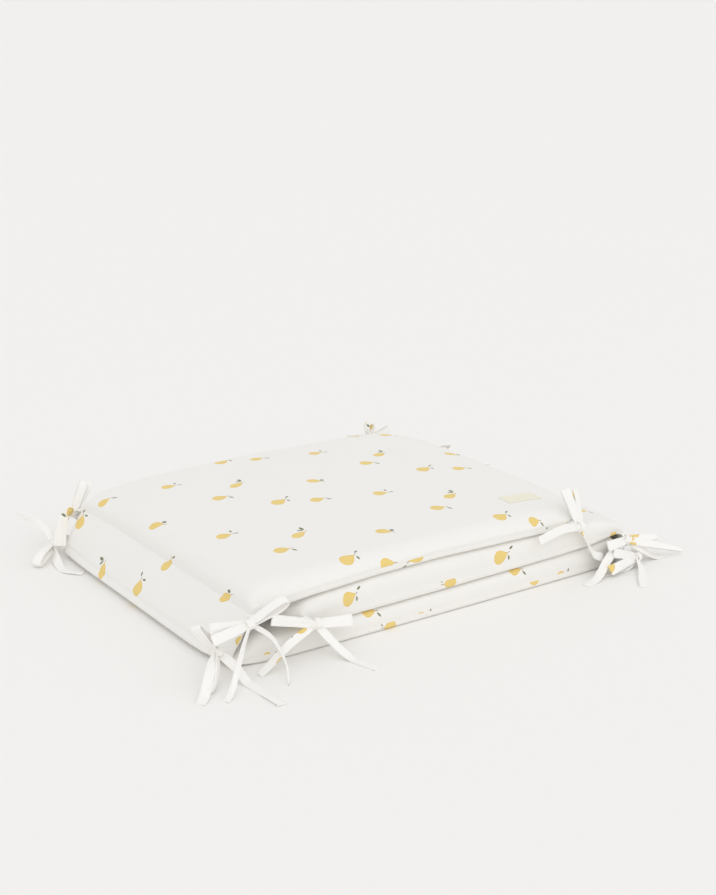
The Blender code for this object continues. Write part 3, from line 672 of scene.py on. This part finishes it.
def layer_face(layer, face, x):
    half_gap = LAYER_GAP / 2
    name = getattr(layer, face)
    if name in ("floor", "top"):
        return level(name, x)
    above = (name == "lower" and layer.outer != "floor") or (name == "upper" and face == "inner")
    height = level(name, x) + (half_gap if above else -half_gap)
    centre, reach, rise = SWELLINGS[name]
    if layer.first != "right_upper" and abs(x - centre) < reach:
        height += rise * (1 - ((x - centre) / reach) ** 2) ** 2
    return height


def pinch_point(name, face):
    pinch = PINCHES[name]
    lean = math.radians(pinch.lean)
    side = 1 if face == "outer" else -1
    out = side * pinch.half_thickness
    return pinch.x + out * math.cos(lean), pinch.z + out * math.sin(lean)


def shoulder(distance, roll, slack):
    if distance >= roll:
        return 1.0
    share = max(distance, 0) / roll
    if slack:
        return math.sin(share * math.pi / 2)
    return math.sqrt(1 - (1 - share) ** 2)


def rolled_face(layer, face, x):
    height = layer_face(layer, face, x)
    rolls = getattr(layer, face + "_rolls")
    for name, roll in zip((layer.first, layer.last), rolls):
        pinch_x, pinch_z = pinch_point(name, face)
        height = pinch_z + (height - pinch_z) * shoulder(abs(x - pinch_x), roll, face == "inner")
    return height


def fold_share(distance):
    return 1 / (1 + (distance / DRAW_REACH) ** 2)


def ends_near(pinches, draw_shares, bow_shares):
    """How far the front and the back edge are drawn in and bowed, near these two pinches."""
    draws, bows = [], []
    for edge in (FRONT, BACK):
        draw = sum(pinch.draws[edge] * share for pinch, share in zip(pinches, draw_shares))
        draws.append(min(draw, max(pinch.draws[edge] for pinch in pinches)))
        bows.append(sum(pinch.bows[edge] * share for pinch, share in zip(pinches, bow_shares)))
    return draws, bows


def edge_rolls(layer):
    if layer.outer == "floor":
        return LOWER_ROLL, COVERED_ROLL
    return (TOP_ROLL if layer.outer == "top" else COVERED_ROLL), LOWER_ROLL


# One cross-section of the strip, and which layer or fold it is in
Section = namedtuple("Section", "run outer inner outer_roll inner_roll seam_share crown draws bows")


def even_places(layer):
    """Places along a layer's X between its pinches, evenly spaced over its two faces."""
    first, last = PINCHES[layer.first].x, PINCHES[layer.last].x
    turns = [math.pi * step / DENSE_STEPS for step in range(DENSE_STEPS + 1)]
    dense = [first + (last - first) * (1 - math.cos(turn)) / 2 for turn in turns]
    heights = [[rolled_face(layer, face, x) for x in dense] for face in ("outer", "inner")]
    lengths = [0.0]
    for place in range(1, len(dense)):
        run = dense[place] - dense[place - 1]
        rise = max(abs(face[place] - face[place - 1]) for face in heights)
        lengths.append(lengths[-1] + math.hypot(run, rise))
    count = round(lengths[-1] / STATION_STEP)
    wanted = [lengths[-1] * step / count for step in range(1, count)]
    return [dense[near] + (dense[near + 1] - dense[near]) * share for near, share in marks(lengths, wanted)]


def layer_sections(name, layer):
    pinches = [PINCHES[layer.first], PINCHES[layer.last]]
    sections = []
    for x in even_places(layer):
        distances = [abs(x - pinch.x) for pinch in pinches]
        draw_shares = [fold_share(distance) for distance in distances]
        bow_shares = [max(0.0, 1 - distance / BOW_REACH) ** 2 for distance in distances]
        ends = ends_near(pinches, draw_shares, bow_shares)
        faces = [(x, rolled_face(layer, face, x)) for face in ("outer", "inner")]
        sections.append(Section(name, *faces, *edge_rolls(layer), layer.seam_share, layer.crown, *ends))
    return sections


def spine_sections(spine):
    first, last = PINCHES[spine.first], PINCHES[spine.last]
    length = math.hypot(last.x - first.x, last.z - first.z)
    outward = ((last.z - first.z) / length, -(last.x - first.x) / length)
    count = round(length / STATION_STEP)
    sections = []
    for step in range(1, count):
        share = step / count
        swell = math.sin(math.pi * share)
        faces = []
        for face, bulge in (("outer", spine.outer_bulge), ("inner", -spine.inner_bulge)):
            start, stop = pinch_point(spine.first, face), pinch_point(spine.last, face)
            ends = zip(start, stop, outward)
            faces.append([begin + (end - begin) * share + push * bulge * swell for begin, end, push in ends])
        draw_shares = (fold_share(share * length), fold_share((1 - share) * length))
        ends = ends_near((first, last), draw_shares, (1 - share, share))
        sections.append(Section("spine", *faces, SPINE_ROLL, SPINE_ROLL, 0.5, 0, *ends))
    return sections


def pinch_section(name):
    faces = (pinch_point(name, "outer"), pinch_point(name, "inner"))
    return Section(name, *faces, SPINE_ROLL, SPINE_ROLL, 0.5, 0, PINCHES[name].draws, PINCHES[name].bows)


def strip_sections():
    """The cross-sections along the strip, from the top layer's end to the middle one's."""
    sections = []
    for name, spine in (("top", LEFT_SPINE), ("bottom", RIGHT_SPINE), ("middle", None)):
        layer = LAYERS[name]
        sections += [pinch_section(layer.first), *layer_sections(name, layer), pinch_section(layer.last)]
        if spine:
            sections += spine_sections(spine)
    return sections


def across_steps(roll):
    """Across the strip, from seam to seam: (share of the width, depth of the edge's roll)."""
    power = FULL_EDGE if roll in (COVERED_ROLL, LOWER_ROLL) else 1
    half = []
    for step in range(1, EDGE_STEPS + 1):
        turn = math.pi / 2 * step / EDGE_STEPS
        inset = 1 - max(0.0, math.cos(turn)) ** power
        half.append((roll * inset / STRIP_WIDTH, math.sin(turn) ** power))
    start = roll / STRIP_WIDTH
    half += [(start + (0.5 - start) * step / INNER_STEPS, 1.0) for step in range(1, INNER_STEPS)]
    return half + [(0.5, 1.0)] + [(1 - share, depth) for share, depth in reversed(half)]


def section_point(section, share, depth, face):
    (outer_x, outer_z), (inner_x, inner_z) = section.outer, section.inner
    seam_x = inner_x + section.seam_share * (outer_x - inner_x)
    seam_z = inner_z + section.seam_share * (outer_z - inner_z)
    aside = abs(2 * share - 1)
    if face == "outer":
        depth *= 1 - section.crown * aside**2
    face_x, face_z = (outer_x, outer_z) if face == "outer" else (inner_x, inner_z)
    front_draw, back_draw = section.draws
    y = front_draw + share * (STRIP_WIDTH - front_draw - back_draw)
    from_edge = min(y, STRIP_WIDTH - y)
    corner = max(0.0, 1 - from_edge / CORNER_REACH) ** 2
    bow = section.bows[FRONT if share < 0.5 else BACK]
    x = seam_x + (face_x - seam_x) * depth - bow * corner
    return PILE_CORNER + Vector((x, y, seam_z + (face_z - seam_z) * depth))


def section_ring(section):
    outer = [section_point(section, *step, "outer") for step in across_steps(section.outer_roll)]
    inner = [section_point(section, *step, "inner") for step in across_steps(section.inner_roll)]
    seams = [section_point(section, edge, 0, "outer") for edge in (FRONT, BACK)]
    return [seams[0]] + outer + [seams[1]] + inner[::-1]


def relief(section, face, u, v, from_seam, from_fold, from_line):
    """How far the cloth stands proud of the plain form there, in metres."""
    depth, half_width = SEAM_GROOVE
    height = -depth * bell(from_seam, half_width)
    if face == "outer":
        depth, half_width, start = FOLD_GROOVE
        height -= depth * bell(from_line, half_width) * grown(from_seam, start)
    hidden = section.run in LAYERS and (section.run, face) != ("top", "outer")
    open_share = bell(from_seam, HIDDEN_REACH) if hidden else 1.0
    size, spacing, reach, start = EDGE_PUCKER
    least, change, slow = EDGE_STRENGTH
    share, finer = RIPPLES["edge"]
    line = wave(u, spacing, SEEDS[face]) + share * wave(u, spacing / finer, SEEDS["edge"])
    strength = least + change * abs(wave(u, slow, SEEDS["strength"]))
    height += size * line * strength * (grown(from_seam, start) * math.exp(-from_seam / reach))
    size, spacing, reach, start, seam_start = FOLD_PUCKER
    share, finer = RIPPLES["fold"]
    line = wave(v, spacing, SEEDS["line"]) + share * wave(v, spacing / finer, SEEDS["fold"])
    rise = grown(from_fold, start) * math.exp(-from_fold / reach)
    height += size * line * rise * open_share * grown(from_seam, seam_start)
    size, spacing, start = UNEVEN_FILL
    if not hidden:
        bump = noise.noise(Vector((u / spacing, v / spacing, SEEDS["fill"])))
        height += size * bump * grown(from_seam, start) * grown(from_fold, start)
    size, spacing, start = FINE_CREASE
    crease = noise.noise(Vector((u / spacing, v / spacing, SEEDS["crease"])))
    return height + size * crease * grown(from_seam, start) * open_share


class Strip:
    """The fine skin of the strip: its points, faces and the places of each on the flat cloth."""

    def __init__(self):
        self.sections = strip_sections()
        self.rings = [section_ring(section) for section in self.sections]
        self.count = len(self.rings[0])
        self.half = self.count // 2  # the place of the back seam in a ring
        middles = (self.half // 2, self.half + self.half // 2)
        outer, inner = ([ring[middle] for ring in self.rings] for middle in middles)
        self.along = {"outer": running_lengths(outer), "inner": running_lengths(inner)}
        self.folds = {section.run: place for place, section in enumerate(self.sections)}

    def ring_places(self, ring):
        """For each face, the cloth's running length across a ring, from its front seam."""
        outer = running_lengths(ring[: self.half + 1])
        inner = running_lengths([ring[0]] + ring[: self.half - 1 : -1])
        return {"outer": outer, "inner": inner}

    def line_distance(self, face, number, places):
        """How far along the cloth the nearest of these lines is, each so far from its fold."""
        here = self.along[face][number]
        lines = [self.along[face][self.folds[name]] + beyond for name, beyond in places.items()]
        return min(abs(here - line) for line in lines)

    def across(self, place, face):
        """The steps from the front seam, over this face, to this place in a ring."""
        return place if face == "outer" else (self.count - place) % self.count


def on_print(strip, number, face, aside):
    """The place on the print of a place on the strip, in its ring and so far from its middle line."""
    along = strip.along[face][number]
    if face == "inner":
        x, y = along + PRINT_INNER[0], aside + PRINT_INNER[1]
    else:
        x, y = PRINT_OUTER[0] - along, PRINT_OUTER[1] + aside
        start, reach, askew = LEFT_ASKEW
        past = min(max(start - x, 0), reach)
        x, y = x + past * askew[0], y + past * askew[1]
    if number <= strip.folds["left_lower"]:
        return (x, y)
    lay = LOWER_PRINTS["middle" if number > strip.folds["right_lower"] else "bottom", face]
    from_pivot = x - lay.pivot
    return (x + lay.x + lay.stretch * from_pivot, y + lay.y + lay.turn * from_pivot)


def pad_mesh(strip):
    built, layer = new_cloth()
    rows = [[built.verts.new(point) for point in ring] for ring in strip.rings]
    widths = [strip.ring_places(ring) for ring in strip.rings]
    count, half, last = strip.count, strip.half, len(rows) - 1

    def corner(number, place, face):
        lengths = widths[number][face]
        aside = lengths[strip.across(place, face)] - lengths[-1] / 2
        return rows[number][place], on_print(strip, number, face, aside)

    for number in range(last):
        for place in range(count):
            following = (place + 1) % count
            face = "outer" if place < half else "inner"
            places = ((number, place), (number, following), (number + 1, following), (number + 1, place))
            add_face(built, layer, [corner(*there, face) for there in places])
    for number in (0, last):
        for place in range(half):
            columns = dict.fromkeys((place, place + 1, count - place - 1, (count - place) % count))
            faces = ["outer" if column <= half else "inner" for column in columns]
            add_face(built, layer, [corner(number, *there) for there in zip(columns, faces)])
    bmesh.ops.recalc_face_normals(built, faces=built.faces)
    built.normal_update()
    for number, section in enumerate(strip.sections):
        for place, vertex in enumerate(rows[number]):
            face = "outer" if place <= half else "inner"
            lengths = widths[number][face]
            v = lengths[strip.across(place, face)]
            from_seam = min(v, lengths[-1] - v)
            u = strip.along[face][number]
            from_fold = strip.line_distance(face, number, dict.fromkeys(PINCHES, 0.0))
            from_line = strip.line_distance(face, number, GROOVE_PLACES)
            lift = vertex.normal * relief(section, face, u, v, from_seam, from_fold, from_line)
            if vertex.co.z < FLAT_BELOW:
                lift.z = 0
            vertex.co += lift
            vertex.co.z = max(vertex.co.z, 0.0)
    return finished("bumper_pad_cloth", built)


def add_stitch(built, start, stop, out, thickness):
    """A short raised thread from start to stop, a flattened bead that stands a little proud."""
    along = (stop - start).normalized()
    side = along.cross(out).normalized()
    middle = (start + stop) / 2
    size = ((stop - start).length / 2, thickness / 2, thickness / 2)
    turn = Matrix((along, side, along.cross(side))).transposed().to_4x4()
    place = Matrix.Translation(middle) @ turn @ Matrix.Diagonal((*size, 1))
    bmesh.ops.create_icosphere(built, subdivisions=1, radius=1, matrix=place)


def stitch_mesh(name, lines, pitch, thickness):
    """Rows of stitches along lines, each a list of (point, outward normal)."""
    built = bmesh.new()
    for line in lines:
        lengths = running_lengths([point for point, _ in line])
        stitches = range(int(lengths[-1] / pitch))
        places = list(marks(lengths, [(step + end) * pitch for step in stitches for end in STITCH_ENDS]))
        for pair in zip(places[::2], places[1::2]):
            ends = [line[near][0].lerp(line[near + 1][0], share) for near, share in pair]
            add_stitch(built, *ends, line[pair[1][0]][1], thickness)
    return finished(name, built)


def fold_stitch_lines(strip, mesh):
    """The stitched lines of the folds, on the cloth's outer face."""
    lines = []
    for name in FOLD_LINES:
        first = strip.folds[name] * strip.count
        line = mesh.vertices[first + 2 : first + strip.half - 1]
        lines.append([(vertex.co.copy(), vertex.normal.copy()) for vertex in line])
    return lines


# The label


def label_point(surface, along, aside, lift):
    x = LABEL_CENTRE[0] + along * math.cos(LABEL_TURN) - aside * math.sin(LABEL_TURN)
    y = LABEL_CENTRE[1] + along * math.sin(LABEL_TURN) + aside * math.cos(LABEL_TURN)
    hit = surface.ray_cast(PILE_CORNER + Vector((x, y, 1)), -UP)[0]
    return hit + UP * lift


def label_mesh(surface):
    """A woven tape that follows the cloth under it, thinner at its sewn ends."""
    long_steps, wide_steps = LABEL_STEPS
    end_share, edge_share = LABEL_PILLOW
    built, layer = new_cloth()
    low, high = {}, {}
    for top, sheet in enumerate((low, high)):
        for step in range(long_steps + 1):
            for column in range(wide_steps + 1):
                along = LABEL_LENGTH * (step / long_steps - 0.5)
                aside = LABEL_WIDTH * (column / wide_steps - 0.5)
                end = min(LABEL_LENGTH / 2 - abs(along), LABEL_END) / LABEL_END
                edge = min(LABEL_WIDTH / 2 - abs(aside), LABEL_EDGE) / LABEL_EDGE
                swell = (1 - end_share) * math.sin(end * math.pi / 2)
                pillow = end_share + swell * (edge_share + (1 - edge_share) * edge)
                point = label_point(surface, along, aside, LABEL_SEAT + top * LABEL_THICKNESS * pillow)
                sheet[step, column] = built.verts.new(point), (along, aside)
    for step in range(long_steps):
        for column in range(wide_steps):
            square = ((step, column), (step + 1, column), (step + 1, column + 1), (step, column + 1))
            add_face(built, layer, [high[place] for place in square])
            add_face(built, layer, [low[place] for place in reversed(square)])
    steps, columns = range(long_steps), range(wide_steps)
    sides = [((step, column), (step + 1, column)) for step in steps for column in (0, wide_steps)]
    sides += [((step, column), (step, column + 1)) for column in columns for step in (0, long_steps)]
    for start, stop in sides:
        add_face(built, layer, [low[start], low[stop], high[stop], high[start]])
    bmesh.ops.recalc_face_normals(built, faces=built.faces)
    return finished("label_cloth", built, LABEL_SHARP)


def label_stitch_lines(surface):
    lift = LABEL_SEAT + LABEL_STITCH_LIFT * LABEL_THICKNESS
    places = [step / LABEL_STITCH_STEPS - 0.5 for step in range(LABEL_STITCH_STEPS + 1)]
    asides = [(LABEL_WIDTH - 2 * LABEL_STITCH_INSET) * place for place in places]
    ends = [end * (LABEL_LENGTH / 2 - LABEL_STITCH_INSET) for end in (-1, 1)]
    return [[(label_point(surface, along, aside, lift), UP) for aside in asides] for along in ends]


# The ties


def metres(millimetres):
    return Vector(part / 1000 for part in millimetres)


def curve_through(points, spacing):
    """Evenly spaced points on a smooth curve that passes through the given ones."""
    ends = [2 * points[0] - points[1], *points, 2 * points[-1] - points[-2]]
    dense = []
    for before, start, stop, after in zip(ends, ends[1:], ends[2:], ends[3:]):
        curve = 2 * before - 5 * start + 4 * stop - after
        twist = 3 * start - before - 3 * stop + after
        for step in range(CURVE_STEPS):
            t = step / CURVE_STEPS
            dense.append(0.5 * (2 * start + (stop - before) * t + curve * t**2 + twist * t**3))
    dense.append(points[-1])
    lengths = running_lengths(dense)
    count = max(4, round(lengths[-1] / spacing))
    wanted = [lengths[-1] * step / count for step in range(count + 1)]
    return [dense[near].lerp(dense[near + 1], share) for near, share in marks(lengths, wanted)]


def gathered_width(from_knot):
    return TIE_WIDTH * (GATHER + (1 - GATHER) * grown(from_knot, GATHER_REACH))


# One ring of a ribbon: its middle, the way its width lies, the way its face looks, its width,
# how deeply it is cupped and pleated, and how far along the ribbon it is.
Ring = namedtuple("Ring", "centre side out width cup pleat along")


def pleat_depth(from_knot):
    most, least, reach = PLEATS
    return least + (most - least) * math.exp(-from_knot / reach)


def ribbon_rings(path, start_face, end_face, shares, seed):
    """The strip of a root or a tail, whose face turns from one way to another."""
    rings = []
    last = len(path) - 1
    for place, (centre, length) in enumerate(zip(path, running_lengths(path))):
        along = (path[min(place + 1, last)] - path[max(place - 1, 0)]).normalized()
        share = place / last
        side = along.cross(start_face.lerp(end_face, share)).normalized()
        out = side.cross(along).normalized()
        sway, spacing = SWAY
        turn = Matrix.Rotation(sway * wave(length, spacing, seed), 3, along)
        side, out = turn @ side, turn @ out
        width = gathered_width(length) * (shares[0] + (shares[1] - shares[0]) * share)
        drift, spacing, start = DRIFT
        centre = centre + out * (drift * wave(length, spacing, seed + DRIFT_SEED) * grown(length, start))
        cup, reach = CUP
        change, spacing = CUP_WAVE
        cup = cup * math.exp(-length / reach) + change * wave(length, spacing, seed + CUP_SEED)
        rings.append(Ring(centre, side, out, width, cup, pleat_depth(length), length))
    return rings


def loop_rings(knot, loop, seed):
    """The strip of one loop: out from the knot, round the tip and back."""
    reach = metres(loop.tip) - knot
    opening = metres(loop.opening)
    broad = reach.cross(opening).normalized()
    apart = opening.normalized() * STRAND_OFFSET
    count = max(LOOP_STEPS, round(2 * reach.length / RING_STEP))
    cup, cup_reach = LOOP_CUP
    sway, spacing = LOOP_SWAY
    rings = []
    travelled, before = 0.0, None
    for step in range(count + 1):
        angle = 2 * math.pi * step / count
        out = (1 - math.cos(angle)) / 2
        swell = opening * LOOP_BULGE * math.sin(angle) * out
        centre = knot + reach * out + swell + apart * math.cos(angle / 2)
        along = reach * math.sin(angle) + opening * LOOP_BULGE * (math.cos(angle) - math.cos(2 * angle))
        if along.length < reach.length / 10:
            along = reach * (1 if step == 0 else -1)
        along.normalize()
        if before is not None:
            travelled += (centre - before).length
        before = centre.copy()
        fan = LOOP_FAN * abs(math.sin(angle)) + sway * wave(travelled, spacing, seed)
        side = Matrix.Rotation(fan, 3, along) @ broad
        from_knot = reach.length * out
        width = gathered_width(from_knot) * (1 + (loop.tip_share - 1) * out**2)
        cupped = cup * math.exp(-from_knot / cup_reach)
        outward = along.cross(side).normalized()
        rings.append(Ring(centre, side, outward, width, cupped, pleat_depth(from_knot), travelled))
    return rings


def add_ribbon(built, layer, rings, start):
    """A thin folded strip with stitched edges through the rings, cut from this place on the print."""
    print_x, print_y, turn = start
    half = TIE_THICKNESS / 2
    places = [(share, half * thick) for share, thick in RIBBON_PROFILE]
    places += [(share, -offset) for share, offset in reversed(places)]
    rows = []
    for ring in rings:
        reach = ring.side.z * ring.width / 2
        lowest = min(ring.centre.z + share * reach + ring.out.z * offset for share, offset in places)
        lift = UP * max(0.0, -lowest)
        row = []
        for share, offset in places:
            pleat = math.sin(PLEAT_TURNS[0] * share + PLEAT_TURNS[1] * ring.along)
            bend = ring.cup * (share * share - CUP_MIDDLE) + ring.pleat * pleat
            point = ring.centre + ring.side * share * ring.width / 2 + ring.out * (offset + bend) + lift
            point.z = max(point.z, 0.0)
            across = share * TIE_WIDTH / 2
            x = print_x + ring.along * math.cos(turn) - across * math.sin(turn)
            y = print_y + ring.along * math.sin(turn) + across * math.cos(turn)
            row.append((built.verts.new(PILE_CORNER + point), (x, y)))
        rows.append(row)
    count = len(places)
    for before, after in zip(rows, rows[1:]):
        for column in range(count):
            following = (column + 1) % count
            add_face(built, layer, [before[column], before[following], after[following], after[column]])
    for row in (rows[0], rows[-1]):
        for column in range(count // 2 - 1):
            other = count - 1 - column
            add_face(built, layer, [row[column], row[column + 1], row[other - 1], row[other]])


def add_knot(built, layer, knot, axis, seed):
    """A tight wrap of cloth round a creased core."""
    depth, spacing, along, upwards = KNOT_CREASE
    for vertex in bmesh.ops.create_icosphere(built, subdivisions=3, radius=1)["verts"]:
        crease = wave(vertex.co.dot(axis) * along + upwards * vertex.co.z, spacing, seed)
        scaled = Vector(part * size * KNOT_CORE for part, size in zip(vertex.co, KNOT_RADII))
        place = knot + scaled * (1 + depth * crease)
        place.z = max(place.z, 0.0)
        vertex.co = PILE_CORNER + place
    side = axis.cross(UP if abs(axis.z) < 0.8 else Vector((1, 0, 0))).normalized()
    other = axis.cross(side).normalized()
    radius = KNOT_RADII[1] * WRAP_RADIUS
    rings = []
    for step in range(WRAP_STEPS + 1):
        angle = 2 * math.pi * step / WRAP_STEPS
        out = side * math.cos(angle) + other * math.sin(angle)
        centre = knot + out * radius + axis * WRAP_DRIFT * math.sin(angle + seed)
        centre.z = max(centre.z, TIE_THICKNESS / 2)
        rings.append(Ring(centre, axis, out, WRAP_WIDTH, WRAP_CUP, WRAP_PLEAT, angle * radius))
    add_ribbon(built, layer, rings, BLANK_PRINT)


def seat_of(tie, strip):
    place = strip.folds[tie.pinch]
    point = strip.rings[place][0 if tie.edge == FRONT else strip.half] - PILE_CORNER
    outward = -1 if tie.edge == FRONT else 1
    return point + Vector((0, outward * TIE_SEAT_GAP, 0))


def face_vector(name, edge):
    x, outward, z = FACES[name]
    return Vector((x, -outward if edge == FRONT else outward, z))


def print_start(cut):
    """Where on the print a strip starts, and how it is turned."""
    if cut is None:
        return BLANK_PRINT
    pear, distance, aside, degrees = cut
    distance, aside, turn = distance / 1000, aside / 1000, math.radians(degrees)
    x = PEARS[pear].x - distance * math.cos(turn) + aside * math.sin(turn)
    y = PEARS[pear].y - distance * math.sin(turn) - aside * math.cos(turn)
    return x, y, turn


def tie_mesh(name, tie, strip, number):
    """A knotted bow: root strip, loops and two tails. It also gives the cloth's whole length."""
    knot = metres(tie.knot)
    built, layer = new_cloth()
    seat = seat_of(tie, strip)
    near, far = ROOT_MIDDLE
    halfway = Vector((near * seat.x + far * knot.x, (seat.y + knot.y) / 2, near * seat.z + far * knot.z))
    root = curve_through((knot, halfway, seat), RING_STEP)
    ribbons = [(ribbon_rings(root, UP, UP, (1.0, ROOT_SHARE), number), None)]
    for count, loop in enumerate(tie.loops):
        ribbons.append((loop_rings(knot, loop, number + LOOP_SEED + count), loop.cut))
    for count, tail in enumerate(tie.tails):
        path = curve_through((knot, *map(metres, tail.stops)), RING_STEP)
        faces = [face_vector(face, tie.edge) for face in (tail.start_face, tail.end_face)]
        ribbons.append((ribbon_rings(path, *faces, tail.widths, number + TAIL_SEED + count), tail.cut))
    for rings, cut in ribbons:
        add_ribbon(built, layer, rings, print_start(cut))
    first, second = (metres(loop.tip) for loop in tie.loops[:2])
    add_knot(built, layer, knot, (first - second).normalized(), number)
    bmesh.ops.recalc_face_normals(built, faces=built.faces)
    return finished(name + "_cloth", built, TIE_SHARP), sum(rings[-1].along for rings, _ in ribbons)


# The studio


def add_floor():
    built = bmesh.new()
    bmesh.ops.create_circle(built, cap_ends=True, segments=48, radius=FLOOR_RADIUS)
    floor = new_object("studio_floor", finished("studio_floor", built))
    far = shaded(FLOOR, FLOOR_SHADE)
    floor.data.materials.append(plain_material("studio_floor", FLOOR_SURFACE, FLOOR_TONE, FLOOR, far))


def add_sun(name, place, strength):
    """A wide, soft light from the direction of place."""
    light = bpy.data.lights.new(name, "SUN")
    light.energy = strength
    light.angle = LIGHT_SPREAD
    light.color = LIGHT
    new_object(name, light).rotation_euler = (-Vector(place)).to_track_quat("-Z", "Y").to_euler()


def add_world():
    world = bpy.data.worlds.new("studio")
    world.use_nodes = True
    background = world.node_tree.nodes["Background"]
    background.inputs["Color"].default_value = (*LIGHT, 1)
    background.inputs["Strength"].default_value = WORLD_STRENGTH
    bpy.context.scene.world = world


def add_camera():
    data = bpy.data.cameras.new("camera")
    data.sensor_fit = "VERTICAL"
    data.sensor_height = SENSOR
    data.lens = CAMERA_LENS
    data.clip_end = FAR
    camera = new_object("camera", data)
    camera.location = PILE_CORNER + CAMERA_PLACE
    ahead = math.cos(CAMERA_PITCH)
    look = Vector((CAMERA_HEADING[0] * ahead, CAMERA_HEADING[1] * ahead, -math.sin(CAMERA_PITCH)))
    camera.rotation_euler = look.to_track_quat("-Z", "Y").to_euler()
    bpy.context.scene.camera = camera


def main():
    add_camera()
    add_floor()
    add_world()
    for name, (place, strength) in LIGHTS.items():
        add_sun(name, place, strength)
    bpy.context.scene.view_settings.view_transform = "Standard"

    pears = print_group(pear_group(), leaf_group())
    cotton = cloth_material("printed_cotton_cloth", CLOTH, CLOTH_SHADE, pears)
    # The ties wear a copy of the pad's printed cotton painted lighter: painted light
    painted_lighter_tie_cotton = cloth_material("tie_cotton_painted_lighter", TIE_CLOTH_PAINTED_LIGHTER, TIE_SHADE_PAINTED_LIGHTER, pears)
    cream_shade = shaded(LABEL_CREAM, LABEL_SHADE)
    tape = cloth_material("label_tape_weave", LABEL_CREAM, cream_shade, None, LABEL_WEAVE)
    thread = plain_material("sewing_thread", THREAD_SURFACE, THREAD_TONE, THREAD, CLOTH)

    strip = Strip()
    mesh = pad_mesh(strip)
    pad = add_piece("bumper_pad_cloth", mesh, cotton)
    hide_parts("bumper_pad")
    stitches = stitch_mesh("fold_stitching", fold_stitch_lines(strip, mesh), *FOLD_STITCH)
    add_piece("fold_stitching", stitches, thread)

    polygons = [polygon.vertices for polygon in mesh.polygons]
    surface = BVHTree.FromPolygons([vertex.co for vertex in mesh.vertices], polygons)
    label = add_piece("label_cloth", label_mesh(surface), tape)
    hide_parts("label")
    label_stitches = stitch_mesh("label_stitching", label_stitch_lines(surface), *LABEL_STITCH)
    add_piece("label_stitching", label_stitches, thread)

    for number, (name, tie) in enumerate(TIES.items()):
        tie_cloth, length = tie_mesh(name, tie, strip, number)
        piece = add_piece(name + "_cloth", tie_cloth, painted_lighter_tie_cotton)
        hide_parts(name)


main()
